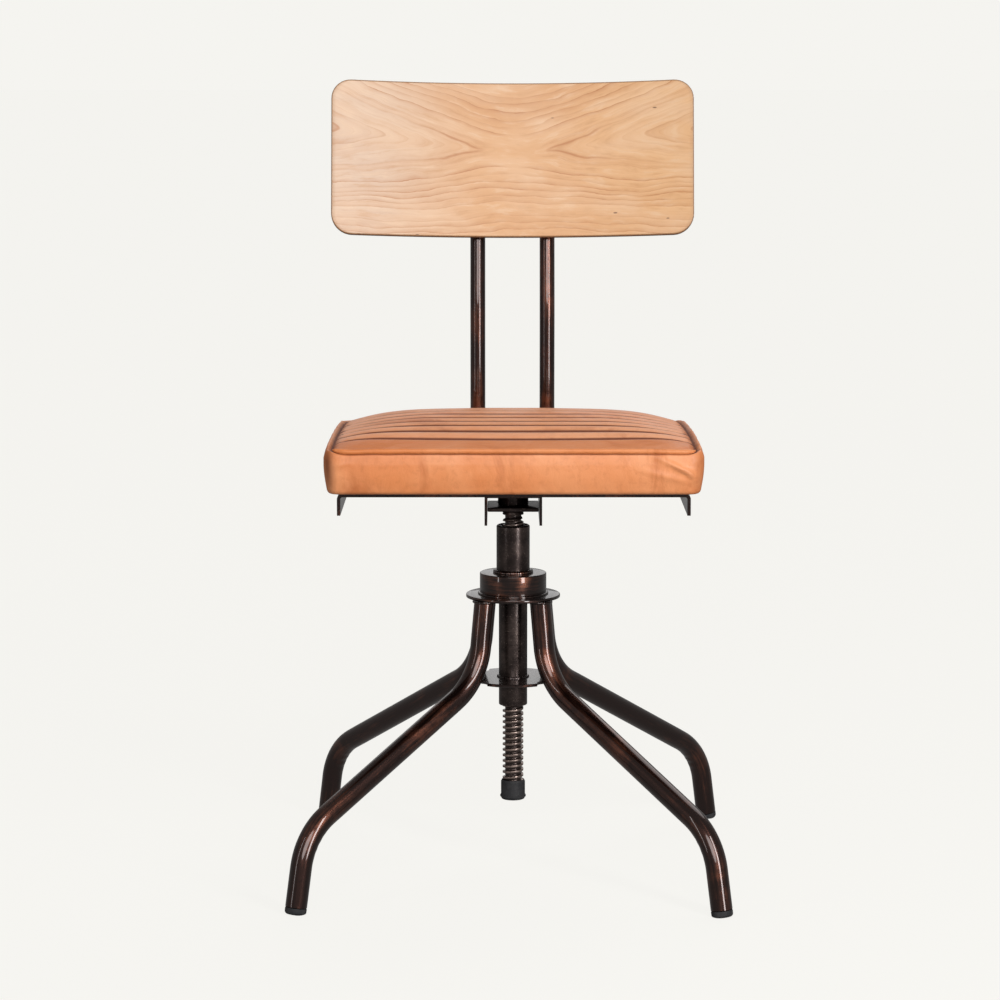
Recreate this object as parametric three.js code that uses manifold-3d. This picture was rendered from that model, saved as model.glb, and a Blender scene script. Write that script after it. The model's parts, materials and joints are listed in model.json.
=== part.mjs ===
// Swivel office chair: a welded tube base, a seat that turns and rises on a screw spindle,
// a channelled leather cushion and a bent plywood back on two tubular uprights.
//
// Millimetres, +Z up. The chair faces -Y and stands on Z = 0. Everything is drawn round the
// swivel axis (X = Y = 0), and the finished group is moved in Y so that the middle of its
// bounding box is over the origin.

import * as THREE from 'three';
import { mergeVertices } from 'three/addons/utils/BufferGeometryUtils.js';
import Module from 'manifold-3d';

const wasm = await Module();
wasm.setup();

// ---------------------------------------------------------------- driving dimensions

const GAP = 0.3;                      // air between pieces that touch on the real chair

const LEG = {
  outerRadius: 11,
  wall: 1.5,
  topReach: 40.5,                     // from the swivel axis to the tube's middle, under the disc
  topLean: degrees(7),                // outward lean between the discs
  kneeHeight: 204,                    // where the upper and middle stretches would meet
  slope: degrees(27.8),               // middle stretch below the horizontal
  footReach: 302.7,                    // from the swivel axis to the foot's middle, on the floor
  footLean: degrees(10),              // outward lean of the lower stretch
  kneeRadius: 70,
  ankleRadius: 68,
  azimuth: degrees(46.4),              // the base stands a little turned from the seat
};
const FOOT = { headHeight: 6, stemHeight: 12, edgeRound: 2 };

const UPPER_DISC = { top: 291, thickness: 3.5, radius: 49.5 };
const LOWER_DISC = { top: 202, thickness: 3.2, radius: 48.5 };
const COLLAR = { top: 313.5, radius: 35 };
const COLUMN = { bottom: 172, top: 294.3, radius: 15, bore: 11.8 };
const SLEEVE = { top: 364, radius: 17.5, bore: 14.8, mouthBore: 15.4 };
const NUT = { bottom: 316, top: 359.8 };
const WIPER = { thickness: 3, bore: 11.7 };

const THREAD = { pitch: 6, crest: 11, root: 8.4, bottom: 82, top: 375 };
const THREAD_CLEARANCE = { radial: 0.6, axial: 0.35 };
const SPINDLE = { bottom: 75, top: 413.6, neck: 9.5 };
const END_CAP = { bottom: 70, top: 91, radius: 12.75, flangeRadius: 13.6 };
const THRUST_PLATE = { top: 385.5, thickness: 4, depth: 58 };

const PAN = { underside: 417.2, thickness: 3.5, halfWidth: 176.3, front: -177, rear: 170, flange: 22 };
const BRACKET = { halfWidth: 29.8, thickness: 2.8, bottom: 371, front: -57, rear: 63, lip: 15.5 };
const CUSHION = {
  bottom: 421,
  seam: 465.5,
  crown: 479,
  halfWidth: 189,
  halfDepth: 190,
  middleY: -7,
  frontCorner: 15,
  rearCorner: 52,
  rearDrop: 9,                        // how much lower the rim is at the back
  leather: 2,
  turnUnder: 32,                      // how far the leather is folded in below the board
};
const BOARD = { thickness: 10, inset: 3 };
const BOARD_SCREW = { x: 120, y: 110 };

const UPRIGHT = {
  outerRadius: 8.25,
  wall: 1.5,
  x: 38.35,
  front: -28,                         // where each tube starts, below the pan
  y: 212,                             // vertical stretch behind the cushion
  bendHeight: 574,                    // where the tube starts to lean back
  lowerRadius: 45,
  upperRadius: 160,
};
const BACK = {
  recline: degrees(11),
  bottom: 653.6,                      // lower edge, middle of the front face
  height: 171,
  halfWidth: 198.5,
  thickness: 9,
  bendRadius: 660,
  cornerRadius: 22,
  tubeEndBelowTop: 24,
  screwHeights: [34, 122],
};
const SCREW = { shank: 2, head: 4.6, headHeight: 2.4, bite: 6.4 };

// Sides of the facets: enough for the shape, fine surfaces aren't needed.
const TUBE_SIDES = 12;
const SMALL_TUBE_SIDES = 10;
const ROUND_SIDES = 28;
const SCREW_SIDES = 8;
const THREAD_SIDES = 10;
const BEND_STEPS = 6;
const CORNER_STEPS = 2;               // a rounded corner has twice this many facets
const WELD_TOLERANCE = 1e-4;          // vertices closer than this are one vertex

// ---------------------------------------------------------------- materials

const METAL = { color: 0x2f2220, roughness: 0.32, metalness: 0.85 };
const DARK_METAL = { color: 0x29262a, roughness: 0.45, metalness: 0.8 };
const STEEL = { color: 0x8a8580, roughness: 0.4, metalness: 0.9 };
const RUBBER = { color: 0x24262a, roughness: 0.8, metalness: 0 };
const BRONZE = { color: 0x8c6a3c, roughness: 0.45, metalness: 0.9 };
const FELT = { color: 0x3a3734, roughness: 0.95, metalness: 0 };
const PLYWOOD = { color: 0xe6bf92, roughness: 0.5, metalness: 0 };
const FOAM = { color: 0xefe6c8, roughness: 0.95, metalness: 0 };
const LEATHER = { color: 0xd9895c, roughness: 0.45, metalness: 0 };

// ---------------------------------------------------------------- helpers

function degrees(angle) {
  return THREE.MathUtils.degToRad(angle);
}

// A closed geometry as a solid: vertices welded, flat triangles dropped, faces turned outward.
function solid(geometry) {
  const bare = geometry.clone();
  bare.deleteAttribute('normal');
  bare.deleteAttribute('uv');
  const welded = mergeVertices(bare, WELD_TOLERANCE);
  const position = welded.attributes.position.array;
  const triangles = [];
  let volume = 0;
  for (let i = 0; i < welded.index.count; i += 3) {
    const corners = [0, 1, 2].map((k) => welded.index.getX(i + k));
    if (new Set(corners).size < 3) continue;
    triangles.push(corners);
    const [a, b, c] = corners.map((k) => new THREE.Vector3().fromArray(position, 3 * k));
    volume += a.dot(b.cross(c));
  }
  const outward = volume < 0 ? triangles.map(([a, b, c]) => [a, c, b]) : triangles;
  return new wasm.Manifold(new wasm.Mesh({
    numProp: 3,
    vertProperties: new Float32Array(position),
    triVerts: new Uint32Array(outward.flat()),
  }));
}

function geometryOf(body) {
  const { vertProperties, triVerts } = body.getMesh();
  const geometry = new THREE.BufferGeometry();
  geometry.setAttribute('position', new THREE.BufferAttribute(vertProperties, 3));
  geometry.setIndex(new THREE.BufferAttribute(triVerts, 1));
  geometry.computeVertexNormals();
  return geometry;
}

// A body turned about Z: the profile is a list of [radius, height].
function turned(profile, sides = ROUND_SIDES) {
  const points = profile.map(([radius, height]) => new THREE.Vector2(radius, height));
  return new THREE.LatheGeometry(points, sides).rotateX(Math.PI / 2);
}

function cylinder(radius, bottom, top, sides = ROUND_SIDES) {
  return solid(turned([[0, bottom], [radius, bottom], [radius, top], [0, top]], sides));
}

function ring(outer, bore, bottom, top, sides = ROUND_SIDES) {
  const profile = [[bore, bottom], [outer, bottom], [outer, top], [bore, top], [bore, bottom]];
  return solid(turned(profile, sides));
}

function box(min, max) {
  const low = new THREE.Vector3(...min);
  const size = new THREE.Vector3(...max).sub(low);
  const geometry = new THREE.BoxGeometry(size.x, size.y, size.z);
  return solid(geometry.translate(...low.addScaledVector(size, 0.5).toArray()));
}

// An outline drawn in X and Z, extruded from y0 to y1.
function extrudedAlongY(shape, y0, y1) {
  const geometry = new THREE.ExtrudeGeometry(shape, { depth: y1 - y0, bevelEnabled: false });
  return solid(geometry.rotateX(Math.PI / 2).translate(0, y1, 0));
}

function circle(radius, sides) {
  const points = [];
  for (let i = 0; i < sides; i += 1) {
    const angle = (2 * Math.PI * i) / sides;
    points.push(new THREE.Vector2(radius * Math.cos(angle), radius * Math.sin(angle)));
  }
  return points;
}

// Two corner radii: one for the low-Y corners and one for the high-Y corners.
function roundedRectangle(halfWidth, halfHeight, lowRadius, highRadius = lowRadius) {
  const shape = new THREE.Shape();
  const low = { x: halfWidth - lowRadius, y: lowRadius - halfHeight };
  const high = { x: halfWidth - highRadius, y: halfHeight - highRadius };
  shape.absarc(high.x, high.y, highRadius, 0, Math.PI / 2);
  shape.absarc(-high.x, high.y, highRadius, Math.PI / 2, Math.PI);
  shape.absarc(-low.x, low.y, lowRadius, Math.PI, 1.5 * Math.PI);
  shape.absarc(low.x, low.y, lowRadius, 1.5 * Math.PI, 2 * Math.PI);
  shape.closePath();
  return shape;
}

// The corners of a shape's outline, without the one that closes it.
function outlineOf(shape) {
  const points = shape.extractPoints(CORNER_STEPS).shape;
  return points.at(-1).distanceTo(points[0]) < WELD_TOLERANCE ? points.slice(0, -1) : points;
}

// A centreline of straights joined by round bends. Each straight is one step, each bend several.
class BentPath extends THREE.Curve {
  constructor(corners, bendRadii) {
    super();
    this.points = [corners[0]];
    this.tangents = [corners[1].clone().sub(corners[0]).normalize()];
    bendRadii.forEach((radius, i) => this.addBend(...corners.slice(i, i + 3), radius));
    this.points.push(corners.at(-1));
    this.tangents.push(this.tangents.at(-1));
  }

  addBend(before, corner, after, radius) {
    const inward = corner.clone().sub(before).normalize();
    const outward = after.clone().sub(corner).normalize();
    const angle = inward.angleTo(outward);
    const start = corner.clone().addScaledVector(inward, -radius * Math.tan(angle / 2));
    const side = outward.clone().addScaledVector(inward, -inward.dot(outward)).normalize();
    for (let i = 0; i <= BEND_STEPS; i += 1) {
      const turn = (angle * i) / BEND_STEPS;
      const point = start.clone().addScaledVector(inward, radius * Math.sin(turn));
      this.points.push(point.addScaledVector(side, radius * (1 - Math.cos(turn))));
      const tangent = inward.clone().multiplyScalar(Math.cos(turn));
      this.tangents.push(tangent.addScaledVector(side, Math.sin(turn)));
    }
  }

  get steps() {
    return this.points.length - 1;
  }

  getUtoTmapping(u) {
    return u;
  }

  getPoint(t, target = new THREE.Vector3()) {
    return target.copy(this.points[Math.round(t * this.steps)]);
  }

  getTangent(t, target = new THREE.Vector3()) {
    return target.copy(this.tangents[Math.round(t * this.steps)]);
  }
}

function bentTube(path, outerRadius, wall, sides) {
  const section = new THREE.Shape(circle(outerRadius, sides));
  section.holes.push(new THREE.Path(circle(outerRadius - wall, sides)));
  return solid(new THREE.ExtrudeGeometry(section, { steps: path.steps, extrudePath: path }));
}

// ---------------------------------------------------------------- base

const legPath = (() => {
  const top = new THREE.Vector3(LEG.topReach, 0, UPPER_DISC.top);
  const kneeX = LEG.topReach + (UPPER_DISC.top - LEG.kneeHeight) * Math.tan(LEG.topLean);
  const knee = new THREE.Vector3(kneeX, 0, LEG.kneeHeight);
  // The middle and lower stretches meet where x = footReach - z tan(footLean).
  const fall = Math.tan(LEG.slope);
  const ankleZ = (LEG.kneeHeight - fall * (LEG.footReach - kneeX)) / (1 - fall * Math.tan(LEG.footLean));
  const ankle = new THREE.Vector3(LEG.footReach - ankleZ * Math.tan(LEG.footLean), 0, ankleZ);
  const tubeEnd = FOOT.headHeight + GAP;
  const foot = new THREE.Vector3(LEG.footReach - tubeEnd * Math.tan(LEG.footLean), 0, tubeEnd);
  return new BentPath([top, knee, ankle, foot], [LEG.kneeRadius, LEG.ankleRadius]);
})();

// One leg in the X-Z plane, cut level under the upper disc.
function leg() {
  const reach = LEG.topReach + 2 * LEG.outerRadius;
  const discBottom = UPPER_DISC.top - UPPER_DISC.thickness;
  const above = box([-reach, -reach, discBottom - GAP], [reach, reach, UPPER_DISC.top + reach]);
  return bentTube(legPath, LEG.outerRadius, LEG.wall, TUBE_SIDES).subtract(above);
}

// A domed cap with a stem in the tube, cut flat where it stands on the floor.
function footCap() {
  const stem = LEG.outerRadius - LEG.wall - GAP;
  const head = LEG.outerRadius;
  const depth = FOOT.headHeight + LEG.outerRadius * Math.tan(LEG.footLean) + 1;
  const geometry = turned([
    [0, -depth],
    [head - FOOT.edgeRound, -depth],
    [head, -depth + FOOT.edgeRound],
    [head, -GAP],
    [stem, -GAP],
    [stem, FOOT.stemHeight],
    [0, FOOT.stemHeight],
  ], TUBE_SIDES);
  const end = legPath.points.at(-1);
  geometry.rotateY(-LEG.footLean).translate(end.x, end.y, end.z);
  const reach = 2 * LEG.footReach;
  return solid(geometry).subtract(box([-reach, -reach, -reach], [reach, reach, 0]));
}

function upperDisc() {
  return ring(UPPER_DISC.radius, COLUMN.radius + GAP, UPPER_DISC.top - UPPER_DISC.thickness, UPPER_DISC.top);
}

// The lower disc is let in between the legs, with a scallop round each tube.
function lowerDisc() {
  const bottom = LOWER_DISC.top - LOWER_DISC.thickness;
  let disc = ring(LOWER_DISC.radius, COLUMN.radius + GAP, bottom, LOWER_DISC.top);
  const scallop = bentTubeCore(legPath, LEG.outerRadius + GAP);
  for (const azimuth of legAzimuths()) {
    disc = disc.subtract(scallop.rotate([0, 0, THREE.MathUtils.radToDeg(azimuth)]));
  }
  return disc;
}

function bentTubeCore(path, radius) {
  const section = new THREE.Shape(circle(radius, TUBE_SIDES));
  return solid(new THREE.ExtrudeGeometry(section, { steps: path.steps, extrudePath: path }));
}

function legAzimuths() {
  return [0, 1, 2, 3].map((quarter) => -LEG.azimuth - Math.PI / 2 + (quarter * Math.PI) / 2);
}

function collar() {
  return ring(COLLAR.radius, SLEEVE.radius + GAP, UPPER_DISC.top + GAP, COLLAR.top);
}

function columnTube() {
  const chamfer = 1;
  const { radius, bore, bottom, top } = COLUMN;
  return solid(turned([
    [bore, bottom],
    [radius - chamfer, bottom],
    [radius, bottom + chamfer],
    [radius, top],
    [bore, top],
    [bore, bottom],
  ]));
}

// The threaded sleeve's mouth is opened out for the wiper ring and chamfered.
function sleeve() {
  const chamfer = 1.2;
  const { radius, bore, mouthBore, top } = SLEEVE;
  const bottom = COLUMN.top + GAP;
  return solid(turned([
    [bore, bottom],
    [radius, bottom],
    [radius, top - chamfer],
    [radius - chamfer, top],
    [mouthBore, top],
    [bore, top - 2 * chamfer],
    [bore, bottom],
  ]));
}

function wiperRing() {
  const bottom = NUT.top + GAP;
  return ring(SLEEVE.bore - GAP, WIPER.bore, bottom, bottom + WIPER.thickness, THREAD_SIDES * 2);
}

// ---------------------------------------------------------------- screw thread

// A threaded rod. The rows of a turned rod follow the helix, so after one turn each column
// meets the next pitch; at the ends they are held to the end planes at the root radius.
function threadedRod(bottom, top, grow = { radial: 0, axial: 0 }) {
  const { pitch, crest, root } = THREAD;
  const crestHalf = 0.17 * pitch + grow.axial;
  const rootHalf = 0.17 * pitch - grow.axial;
  const corners = [
    [-crestHalf, crest],
    [crestHalf, crest],
    [pitch / 2 - rootHalf, root],
    [pitch / 2 + rootHalf, root],
  ];
  const firstTurn = Math.floor(bottom / pitch) - 2;
  const lastTurn = Math.ceil(top / pitch) + 1;
  const rows = [];
  for (let turn = firstTurn; turn <= lastTurn; turn += 1) {
    corners.forEach(([offset, radius]) => rows.push([radius + grow.radial, turn * pitch + offset]));
  }
  const geometry = turned([[0, bottom], ...rows, [0, top]], THREAD_SIDES);
  const position = geometry.attributes.position;
  const column = rows.length + 2;
  for (let i = 0; i < position.count; i += 1) {
    const row = (i % column) - 1;
    if (row < 0 || row >= rows.length) continue;
    const turnFraction = Math.floor(i / column) / THREAD_SIDES;
    const [radius, height] = rows[row];
    const z = height + pitch * turnFraction;
    const ended = z <= bottom || z >= top;
    const angle = 2 * Math.PI * turnFraction;
    const r = ended ? root + grow.radial : radius;
    position.setXYZ(i, r * Math.sin(angle), -r * Math.cos(angle), THREE.MathUtils.clamp(z, bottom, top));
  }
  return solid(geometry);
}

function liftNut() {
  const outer = cylinder(SLEEVE.bore - GAP, NUT.bottom, NUT.top, THREAD_SIDES * 2);
  const spare = THREAD.pitch;
  return outer.subtract(threadedRod(NUT.bottom - spare, NUT.top + spare, THREAD_CLEARANCE));
}

function spindle() {
  const stub = cylinder(THREAD.root, SPINDLE.bottom, THREAD.bottom + 1, THREAD_SIDES);
  const neck = cylinder(SPINDLE.neck, THREAD.top - 1, SPINDLE.top, THREAD_SIDES * 2);
  return threadedRod(THREAD.bottom, THREAD.top).add(stub).add(neck);
}

// A rubber cap with a small flange, pushed over the plain end of the spindle.
function spindleEndCap() {
  const { bottom, top, radius, flangeRadius } = END_CAP;
  const socket = THREAD.root + GAP;
  const mouth = THREAD.crest + GAP;
  const flangeBottom = bottom + 2.4;
  const flangeTop = bottom + 4.4;
  return solid(turned([
    [0, bottom],
    [radius - 0.6, bottom],
    [radius, flangeBottom],
    [flangeRadius, flangeBottom],
    [flangeRadius, flangeTop],
    [radius, flangeTop],
    [radius, top - 2],
    [radius - 1, top],
    [mouth, top],
    [mouth, THREAD.bottom - GAP],
    [socket, THREAD.bottom - GAP],
    [socket, SPINDLE.bottom - GAP],
    [0, SPINDLE.bottom - GAP],
  ], THREAD_SIDES * 2));
}

// ---------------------------------------------------------------- seat frame

function thrustPlate() {
  const half = BRACKET.halfWidth - BRACKET.thickness - GAP;
  const { top, thickness, depth } = THRUST_PLATE;
  const plate = box([-half, -depth / 2, top - thickness], [half, depth / 2, top]);
  return plate.subtract(cylinder(SPINDLE.neck + GAP, top - thickness - 1, top + 1, THREAD_SIDES * 2));
}

// An inverted U with rounded outer and inner bends.
function channelShape(halfWidth, bottom, top, thickness) {
  const outerBend = 1.6 * thickness;
  const innerBend = 0.6 * thickness;
  const inner = halfWidth - thickness;
  const shape = new THREE.Shape();
  shape.moveTo(halfWidth, bottom);
  shape.absarc(halfWidth - outerBend, top - outerBend, outerBend, 0, Math.PI / 2);
  shape.absarc(-halfWidth + outerBend, top - outerBend, outerBend, Math.PI / 2, Math.PI);
  shape.lineTo(-halfWidth, bottom);
  shape.lineTo(-inner, bottom);
  shape.absarc(-inner + innerBend, top - thickness - innerBend, innerBend, Math.PI, Math.PI / 2, true);
  shape.absarc(inner - innerBend, top - thickness - innerBend, innerBend, Math.PI / 2, 0, true);
  shape.lineTo(inner, bottom);
  shape.closePath();
  return new THREE.Shape(outlineOf(shape));
}

// The bracket's web is folded down in a stiffening lip at the front.
function seatBracket() {
  const { halfWidth, thickness, bottom, front, rear, lip } = BRACKET;
  const top = PAN.underside - GAP;
  const channel = extrudedAlongY(channelShape(halfWidth, bottom, top, thickness), front, rear);
  const reach = halfWidth - thickness / 2;
  return channel.add(box([-reach, front, top - lip], [reach, front + thickness, top - thickness / 2]));
}

function seatPan() {
  const { halfWidth, thickness, underside, front, rear, flange } = PAN;
  const top = underside + thickness;
  let pan = extrudedAlongY(channelShape(halfWidth, top - flange, top, thickness), front, rear);
  for (const [x, y] of boardScrewPlaces()) {
    const hole = cylinder(SCREW.shank + GAP, underside - 1, top + 1, SCREW_SIDES);
    pan = pan.subtract(hole.translate([x, y, 0]));
  }
  return pan;
}

function boardScrewPlaces() {
  const { x, y } = BOARD_SCREW;
  return [[-x, -y], [x, -y], [x, y], [-x, y]];
}

// A wood screw along +Z with its flat head below z = 0.
function woodScrew(length) {
  const { shank, head, headHeight } = SCREW;
  return solid(turned([
    [0, -headHeight],
    [0.7 * head, -headHeight],
    [head, -0.4 * headHeight],
    [head, 0],
    [shank, 0],
    [shank, length - 1.5],
    [0, length],
  ], SCREW_SIDES));
}

function boardScrewLength() {
  return boardBottom() + SCREW.bite - PAN.underside + GAP;
}

// ---------------------------------------------------------------- cushion

function boardBottom() {
  return CUSHION.bottom + CUSHION.leather + GAP;
}

// A body on the cushion's plan, drawn in by inset all round. The profile is a list of
// [share of the plan, height, share of the rim's drop towards the back].
function cushionBody(profile, inset) {
  const { halfWidth, halfDepth, middleY, frontCorner, rearCorner, rearDrop } = CUSHION;
  const cornerLoss = Math.min(inset, frontCorner / 2);
  const outline = outlineOf(roundedRectangle(halfWidth - inset, halfDepth - inset,
    frontCorner - cornerLoss, rearCorner - cornerLoss));
  const sides = outline.length;
  const geometry = turned(profile, sides);
  const position = geometry.attributes.position;
  for (let i = 0; i < position.count; i += 1) {
    const [share, height, dropShare = 0] = profile[i % profile.length];
    const { x, y } = outline[Math.floor(i / profile.length) % sides];
    const backward = (share * y + halfDepth) / (2 * halfDepth);
    position.setXYZ(i, share * x, share * y + middleY, height - dropShare * rearDrop * backward ** 2);
  }
  return solid(geometry);
}

function seatBoard() {
  const inset = CUSHION.leather + BOARD.inset;
  const bottom = boardBottom();
  const top = bottom + BOARD.thickness;
  let board = cushionBody([[0, bottom], [1, bottom], [1, top], [0, top]], inset);
  for (const [x, y] of boardScrewPlaces()) {
    const hole = cylinder(SCREW.shank + GAP, bottom - 1, bottom + SCREW.bite + GAP, SCREW_SIDES);
    board = board.subtract(hole.translate([x, y, 0]));
  }
  return board;
}

// Foam from the board up to just under the leather, crowned like the cover.
function foamBody(grow) {
  const { leather, seam, crown } = CUSHION;
  const inset = leather + GAP - grow;
  const bottom = boardBottom() + BOARD.thickness + GAP - grow;
  return cushionBody([
    [0, bottom],
    [0.985, bottom],
    [1, bottom + 6],
    [0.995, seam - 12, 0.6],
    [0.96, seam - 3 - inset, 1],
    [0.8, seam + 4 - inset, 0.8],
    [0.5, crown - 3 - inset, 0.3],
    [0.22, crown - inset],
    [0, crown - inset],
  ], inset);
}

// The leather cover with its underside turned in below the board, open in the middle.
function seatCover() {
  const { bottom, seam, crown, leather, turnUnder } = CUSHION;
  const outer = cushionBody([
    [0, bottom],
    [0.965, bottom],
    [0.99, bottom + 4],
    [1, bottom + 14],
    [0.995, seam - 12, 0.6],
    [0.965, seam - 1, 1],
    [0.8, seam + 4, 0.8],
    [0.5, crown - 3, 0.3],
    [0.22, crown],
    [0, crown],
  ], 0);
  const inset = leather + BOARD.inset - GAP;
  const low = boardBottom() - GAP;
  const high = boardBottom() + BOARD.thickness + 2 * GAP;
  const boardRoom = cushionBody([[0, low], [1, low], [1, high], [0, high]], inset);
  const under = bottom - 1;
  const opening = cushionBody([[0, under], [1, under], [1, low + 1], [0, low + 1]], turnUnder);
  return outer.subtract(foamBody(GAP)).subtract(boardRoom).subtract(opening);
}

// ---------------------------------------------------------------- back

// Distance from the tube's middle to the panel's front face at the middle of the panel.
const TUBE_TO_FACE = UPRIGHT.outerRadius + GAP + BACK.thickness + UPRIGHT.x ** 2 / (2 * BACK.bendRadius);
const lean = {
  up: new THREE.Vector3(0, Math.sin(BACK.recline), Math.cos(BACK.recline)),
  back: new THREE.Vector3(0, Math.cos(BACK.recline), -Math.sin(BACK.recline)),
};

// The point of the panel's front face at the middle of its lower edge.
const backFoot = (() => {
  const faceY = UPRIGHT.y + (BACK.bottom - UPRIGHT.bendHeight) * Math.tan(BACK.recline);
  return new THREE.Vector3(0, faceY - TUBE_TO_FACE / Math.cos(BACK.recline), BACK.bottom);
})();

function backPoint(x, up, back) {
  return new THREE.Vector3(x, 0, 0).add(backFoot).addScaledVector(lean.up, up).addScaledVector(lean.back, back);
}

function uprightPath(x) {
  const z = PAN.underside - GAP - UPRIGHT.outerRadius;
  const end = backPoint(x, BACK.height - BACK.tubeEndBelowTop, TUBE_TO_FACE);
  return new BentPath([
    new THREE.Vector3(x, UPRIGHT.front, z),
    new THREE.Vector3(x, UPRIGHT.y, z),
    new THREE.Vector3(x, UPRIGHT.y, UPRIGHT.bendHeight),
    end,
  ], [UPRIGHT.lowerRadius, UPRIGHT.upperRadius]);
}

// The screws run along the lean's back direction, from behind the tube into the panel.
function placedOnBack(geometryOrBody, x, up, back) {
  const toFront = new THREE.Quaternion().setFromUnitVectors(
    new THREE.Vector3(0, 0, 1), lean.back.clone().negate());
  const place = new THREE.Matrix4().compose(backPoint(x, up, back), toFront, new THREE.Vector3(1, 1, 1));
  return geometryOrBody.transform(place.elements);
}

function backScrewPlaces(x) {
  return BACK.screwHeights.map((up) => [x, up, TUBE_TO_FACE + UPRIGHT.outerRadius + GAP]);
}

function backScrewLength() {
  return 2 * UPRIGHT.outerRadius + 2 * GAP + SCREW.bite;
}

function upright(x) {
  let tube = bentTube(uprightPath(x), UPRIGHT.outerRadius, UPRIGHT.wall, SMALL_TUBE_SIDES);
  for (const place of backScrewPlaces(x)) {
    const hole = cylinder(SCREW.shank + GAP, -1, 2 * UPRIGHT.outerRadius + 2, SCREW_SIDES);
    tube = tube.subtract(placedOnBack(hole, ...place));
  }
  return tube;
}

// A plug with a thin domed head, pushed into an open tube end. Drawn along +Z, out of the tube.
function tubePlug() {
  const stem = UPRIGHT.outerRadius - UPRIGHT.wall - GAP;
  return solid(turned([
    [0, -8],
    [stem, -8],
    [stem, GAP],
    [UPRIGHT.outerRadius, GAP],
    [UPRIGHT.outerRadius - 0.8, 1.6],
    [0, 2.2],
  ], SMALL_TUBE_SIDES));
}

function plugAt(path, atStart) {
  const point = atStart ? path.points[0] : path.points.at(-1);
  const outOfTube = atStart ? path.tangents[0].clone().negate() : path.tangents.at(-1).clone();
  const turn = new THREE.Quaternion().setFromUnitVectors(new THREE.Vector3(0, 0, 1), outOfTube);
  const place = new THREE.Matrix4().compose(point, turn, new THREE.Vector3(1, 1, 1));
  return tubePlug().transform(place.elements);
}

// The panel: a strip bent round a vertical axis in front of it, cut to a rounded rectangle,
// bored for the four screws and leant back.
function backrestPanel() {
  const { bendRadius, thickness, height, halfWidth, cornerRadius, recline } = BACK;
  const spread = Math.asin(halfWidth / bendRadius) + degrees(2);
  const strip = new THREE.Shape();
  const centreY = -bendRadius;
  strip.absarc(0, centreY, bendRadius + thickness, Math.PI / 2 - spread, Math.PI / 2 + spread);
  strip.absarc(0, centreY, bendRadius, Math.PI / 2 + spread, Math.PI / 2 - spread, true);
  strip.closePath();
  const bent = solid(new THREE.ExtrudeGeometry(strip, {
    depth: height,
    bevelEnabled: false,
    curveSegments: 20,
  }));
  const face = new THREE.Shape(outlineOf(roundedRectangle(halfWidth, height / 2, cornerRadius)));
  const outline = extrudedAlongY(face, -bendRadius / 4, 2 * thickness).translate([0, 0, height / 2]);
  const place = new THREE.Matrix4().makeRotationX(-recline).setPosition(backFoot);
  let panel = bent.intersect(outline).transform(place.elements);
  for (const side of [-1, 1]) {
    for (const screwPlace of backScrewPlaces(side * UPRIGHT.x)) {
      const hole = cylinder(SCREW.shank + GAP, 0, backScrewLength() + GAP, SCREW_SIDES);
      panel = panel.subtract(placedOnBack(hole, ...screwPlace));
    }
  }
  return panel;
}

// ---------------------------------------------------------------- assembly

const chair = new THREE.Group();

function addPiece(name, body, look) {
  const mesh = new THREE.Mesh(geometryOf(body), new THREE.MeshStandardMaterial(look));
  mesh.name = name;
  chair.add(mesh);
  return mesh;
}

const LEG_NAMES = ['front_left', 'front_right', 'rear_right', 'rear_left'];
legAzimuths().forEach((azimuth, i) => {
  addPiece(`leg_${LEG_NAMES[i]}`, leg(), METAL).rotation.z = azimuth;
  addPiece(`foot_cap_${LEG_NAMES[i]}`, footCap(), RUBBER).rotation.z = azimuth;
});
addPiece('upper_disc', upperDisc(), METAL);
addPiece('lower_disc', lowerDisc(), METAL);
addPiece('collar', collar(), METAL);
addPiece('column_tube', columnTube(), DARK_METAL);
addPiece('threaded_sleeve', sleeve(), DARK_METAL);
addPiece('lift_nut', liftNut(), BRONZE);
addPiece('wiper_ring', wiperRing(), FELT);

addPiece('spindle', spindle(), DARK_METAL);
addPiece('spindle_end_cap', spindleEndCap(), RUBBER);
addPiece('thrust_plate', thrustPlate(), DARK_METAL);
addPiece('seat_bracket', seatBracket(), METAL);
addPiece('seat_pan', seatPan(), METAL);
boardScrewPlaces().forEach(([x, y], i) => {
  const screw = addPiece(`board_screw_${i + 1}`, woodScrew(boardScrewLength()), STEEL);
  screw.position.set(x, y, PAN.underside - GAP);
});
addPiece('seat_board', seatBoard(), PLYWOOD);
addPiece('seat_foam', foamBody(0), FOAM);
addPiece('seat_cover', seatCover(), LEATHER);

for (const [side, x] of [['left', -UPRIGHT.x], ['right', UPRIGHT.x]]) {
  addPiece(`upright_${side}`, upright(x), METAL);
  addPiece(`upright_plug_top_${side}`, plugAt(uprightPath(x), false), RUBBER);
  addPiece(`upright_plug_front_${side}`, plugAt(uprightPath(x), true), RUBBER);
  backScrewPlaces(x).forEach((place, i) => {
    const screw = placedOnBack(woodScrew(backScrewLength()), ...place);
    addPiece(`back_screw_${side}_${i + 1}`, screw, STEEL);
  });
}
addPiece('backrest_panel', backrestPanel(), PLYWOOD);

// Stand the middle of the bounding box over the origin.
const extent = new THREE.Box3().setFromObject(chair, true);
chair.position.y = -(extent.min.y + extent.max.y) / 2;
chair.updateMatrixWorld(true);

export default chair;
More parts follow.
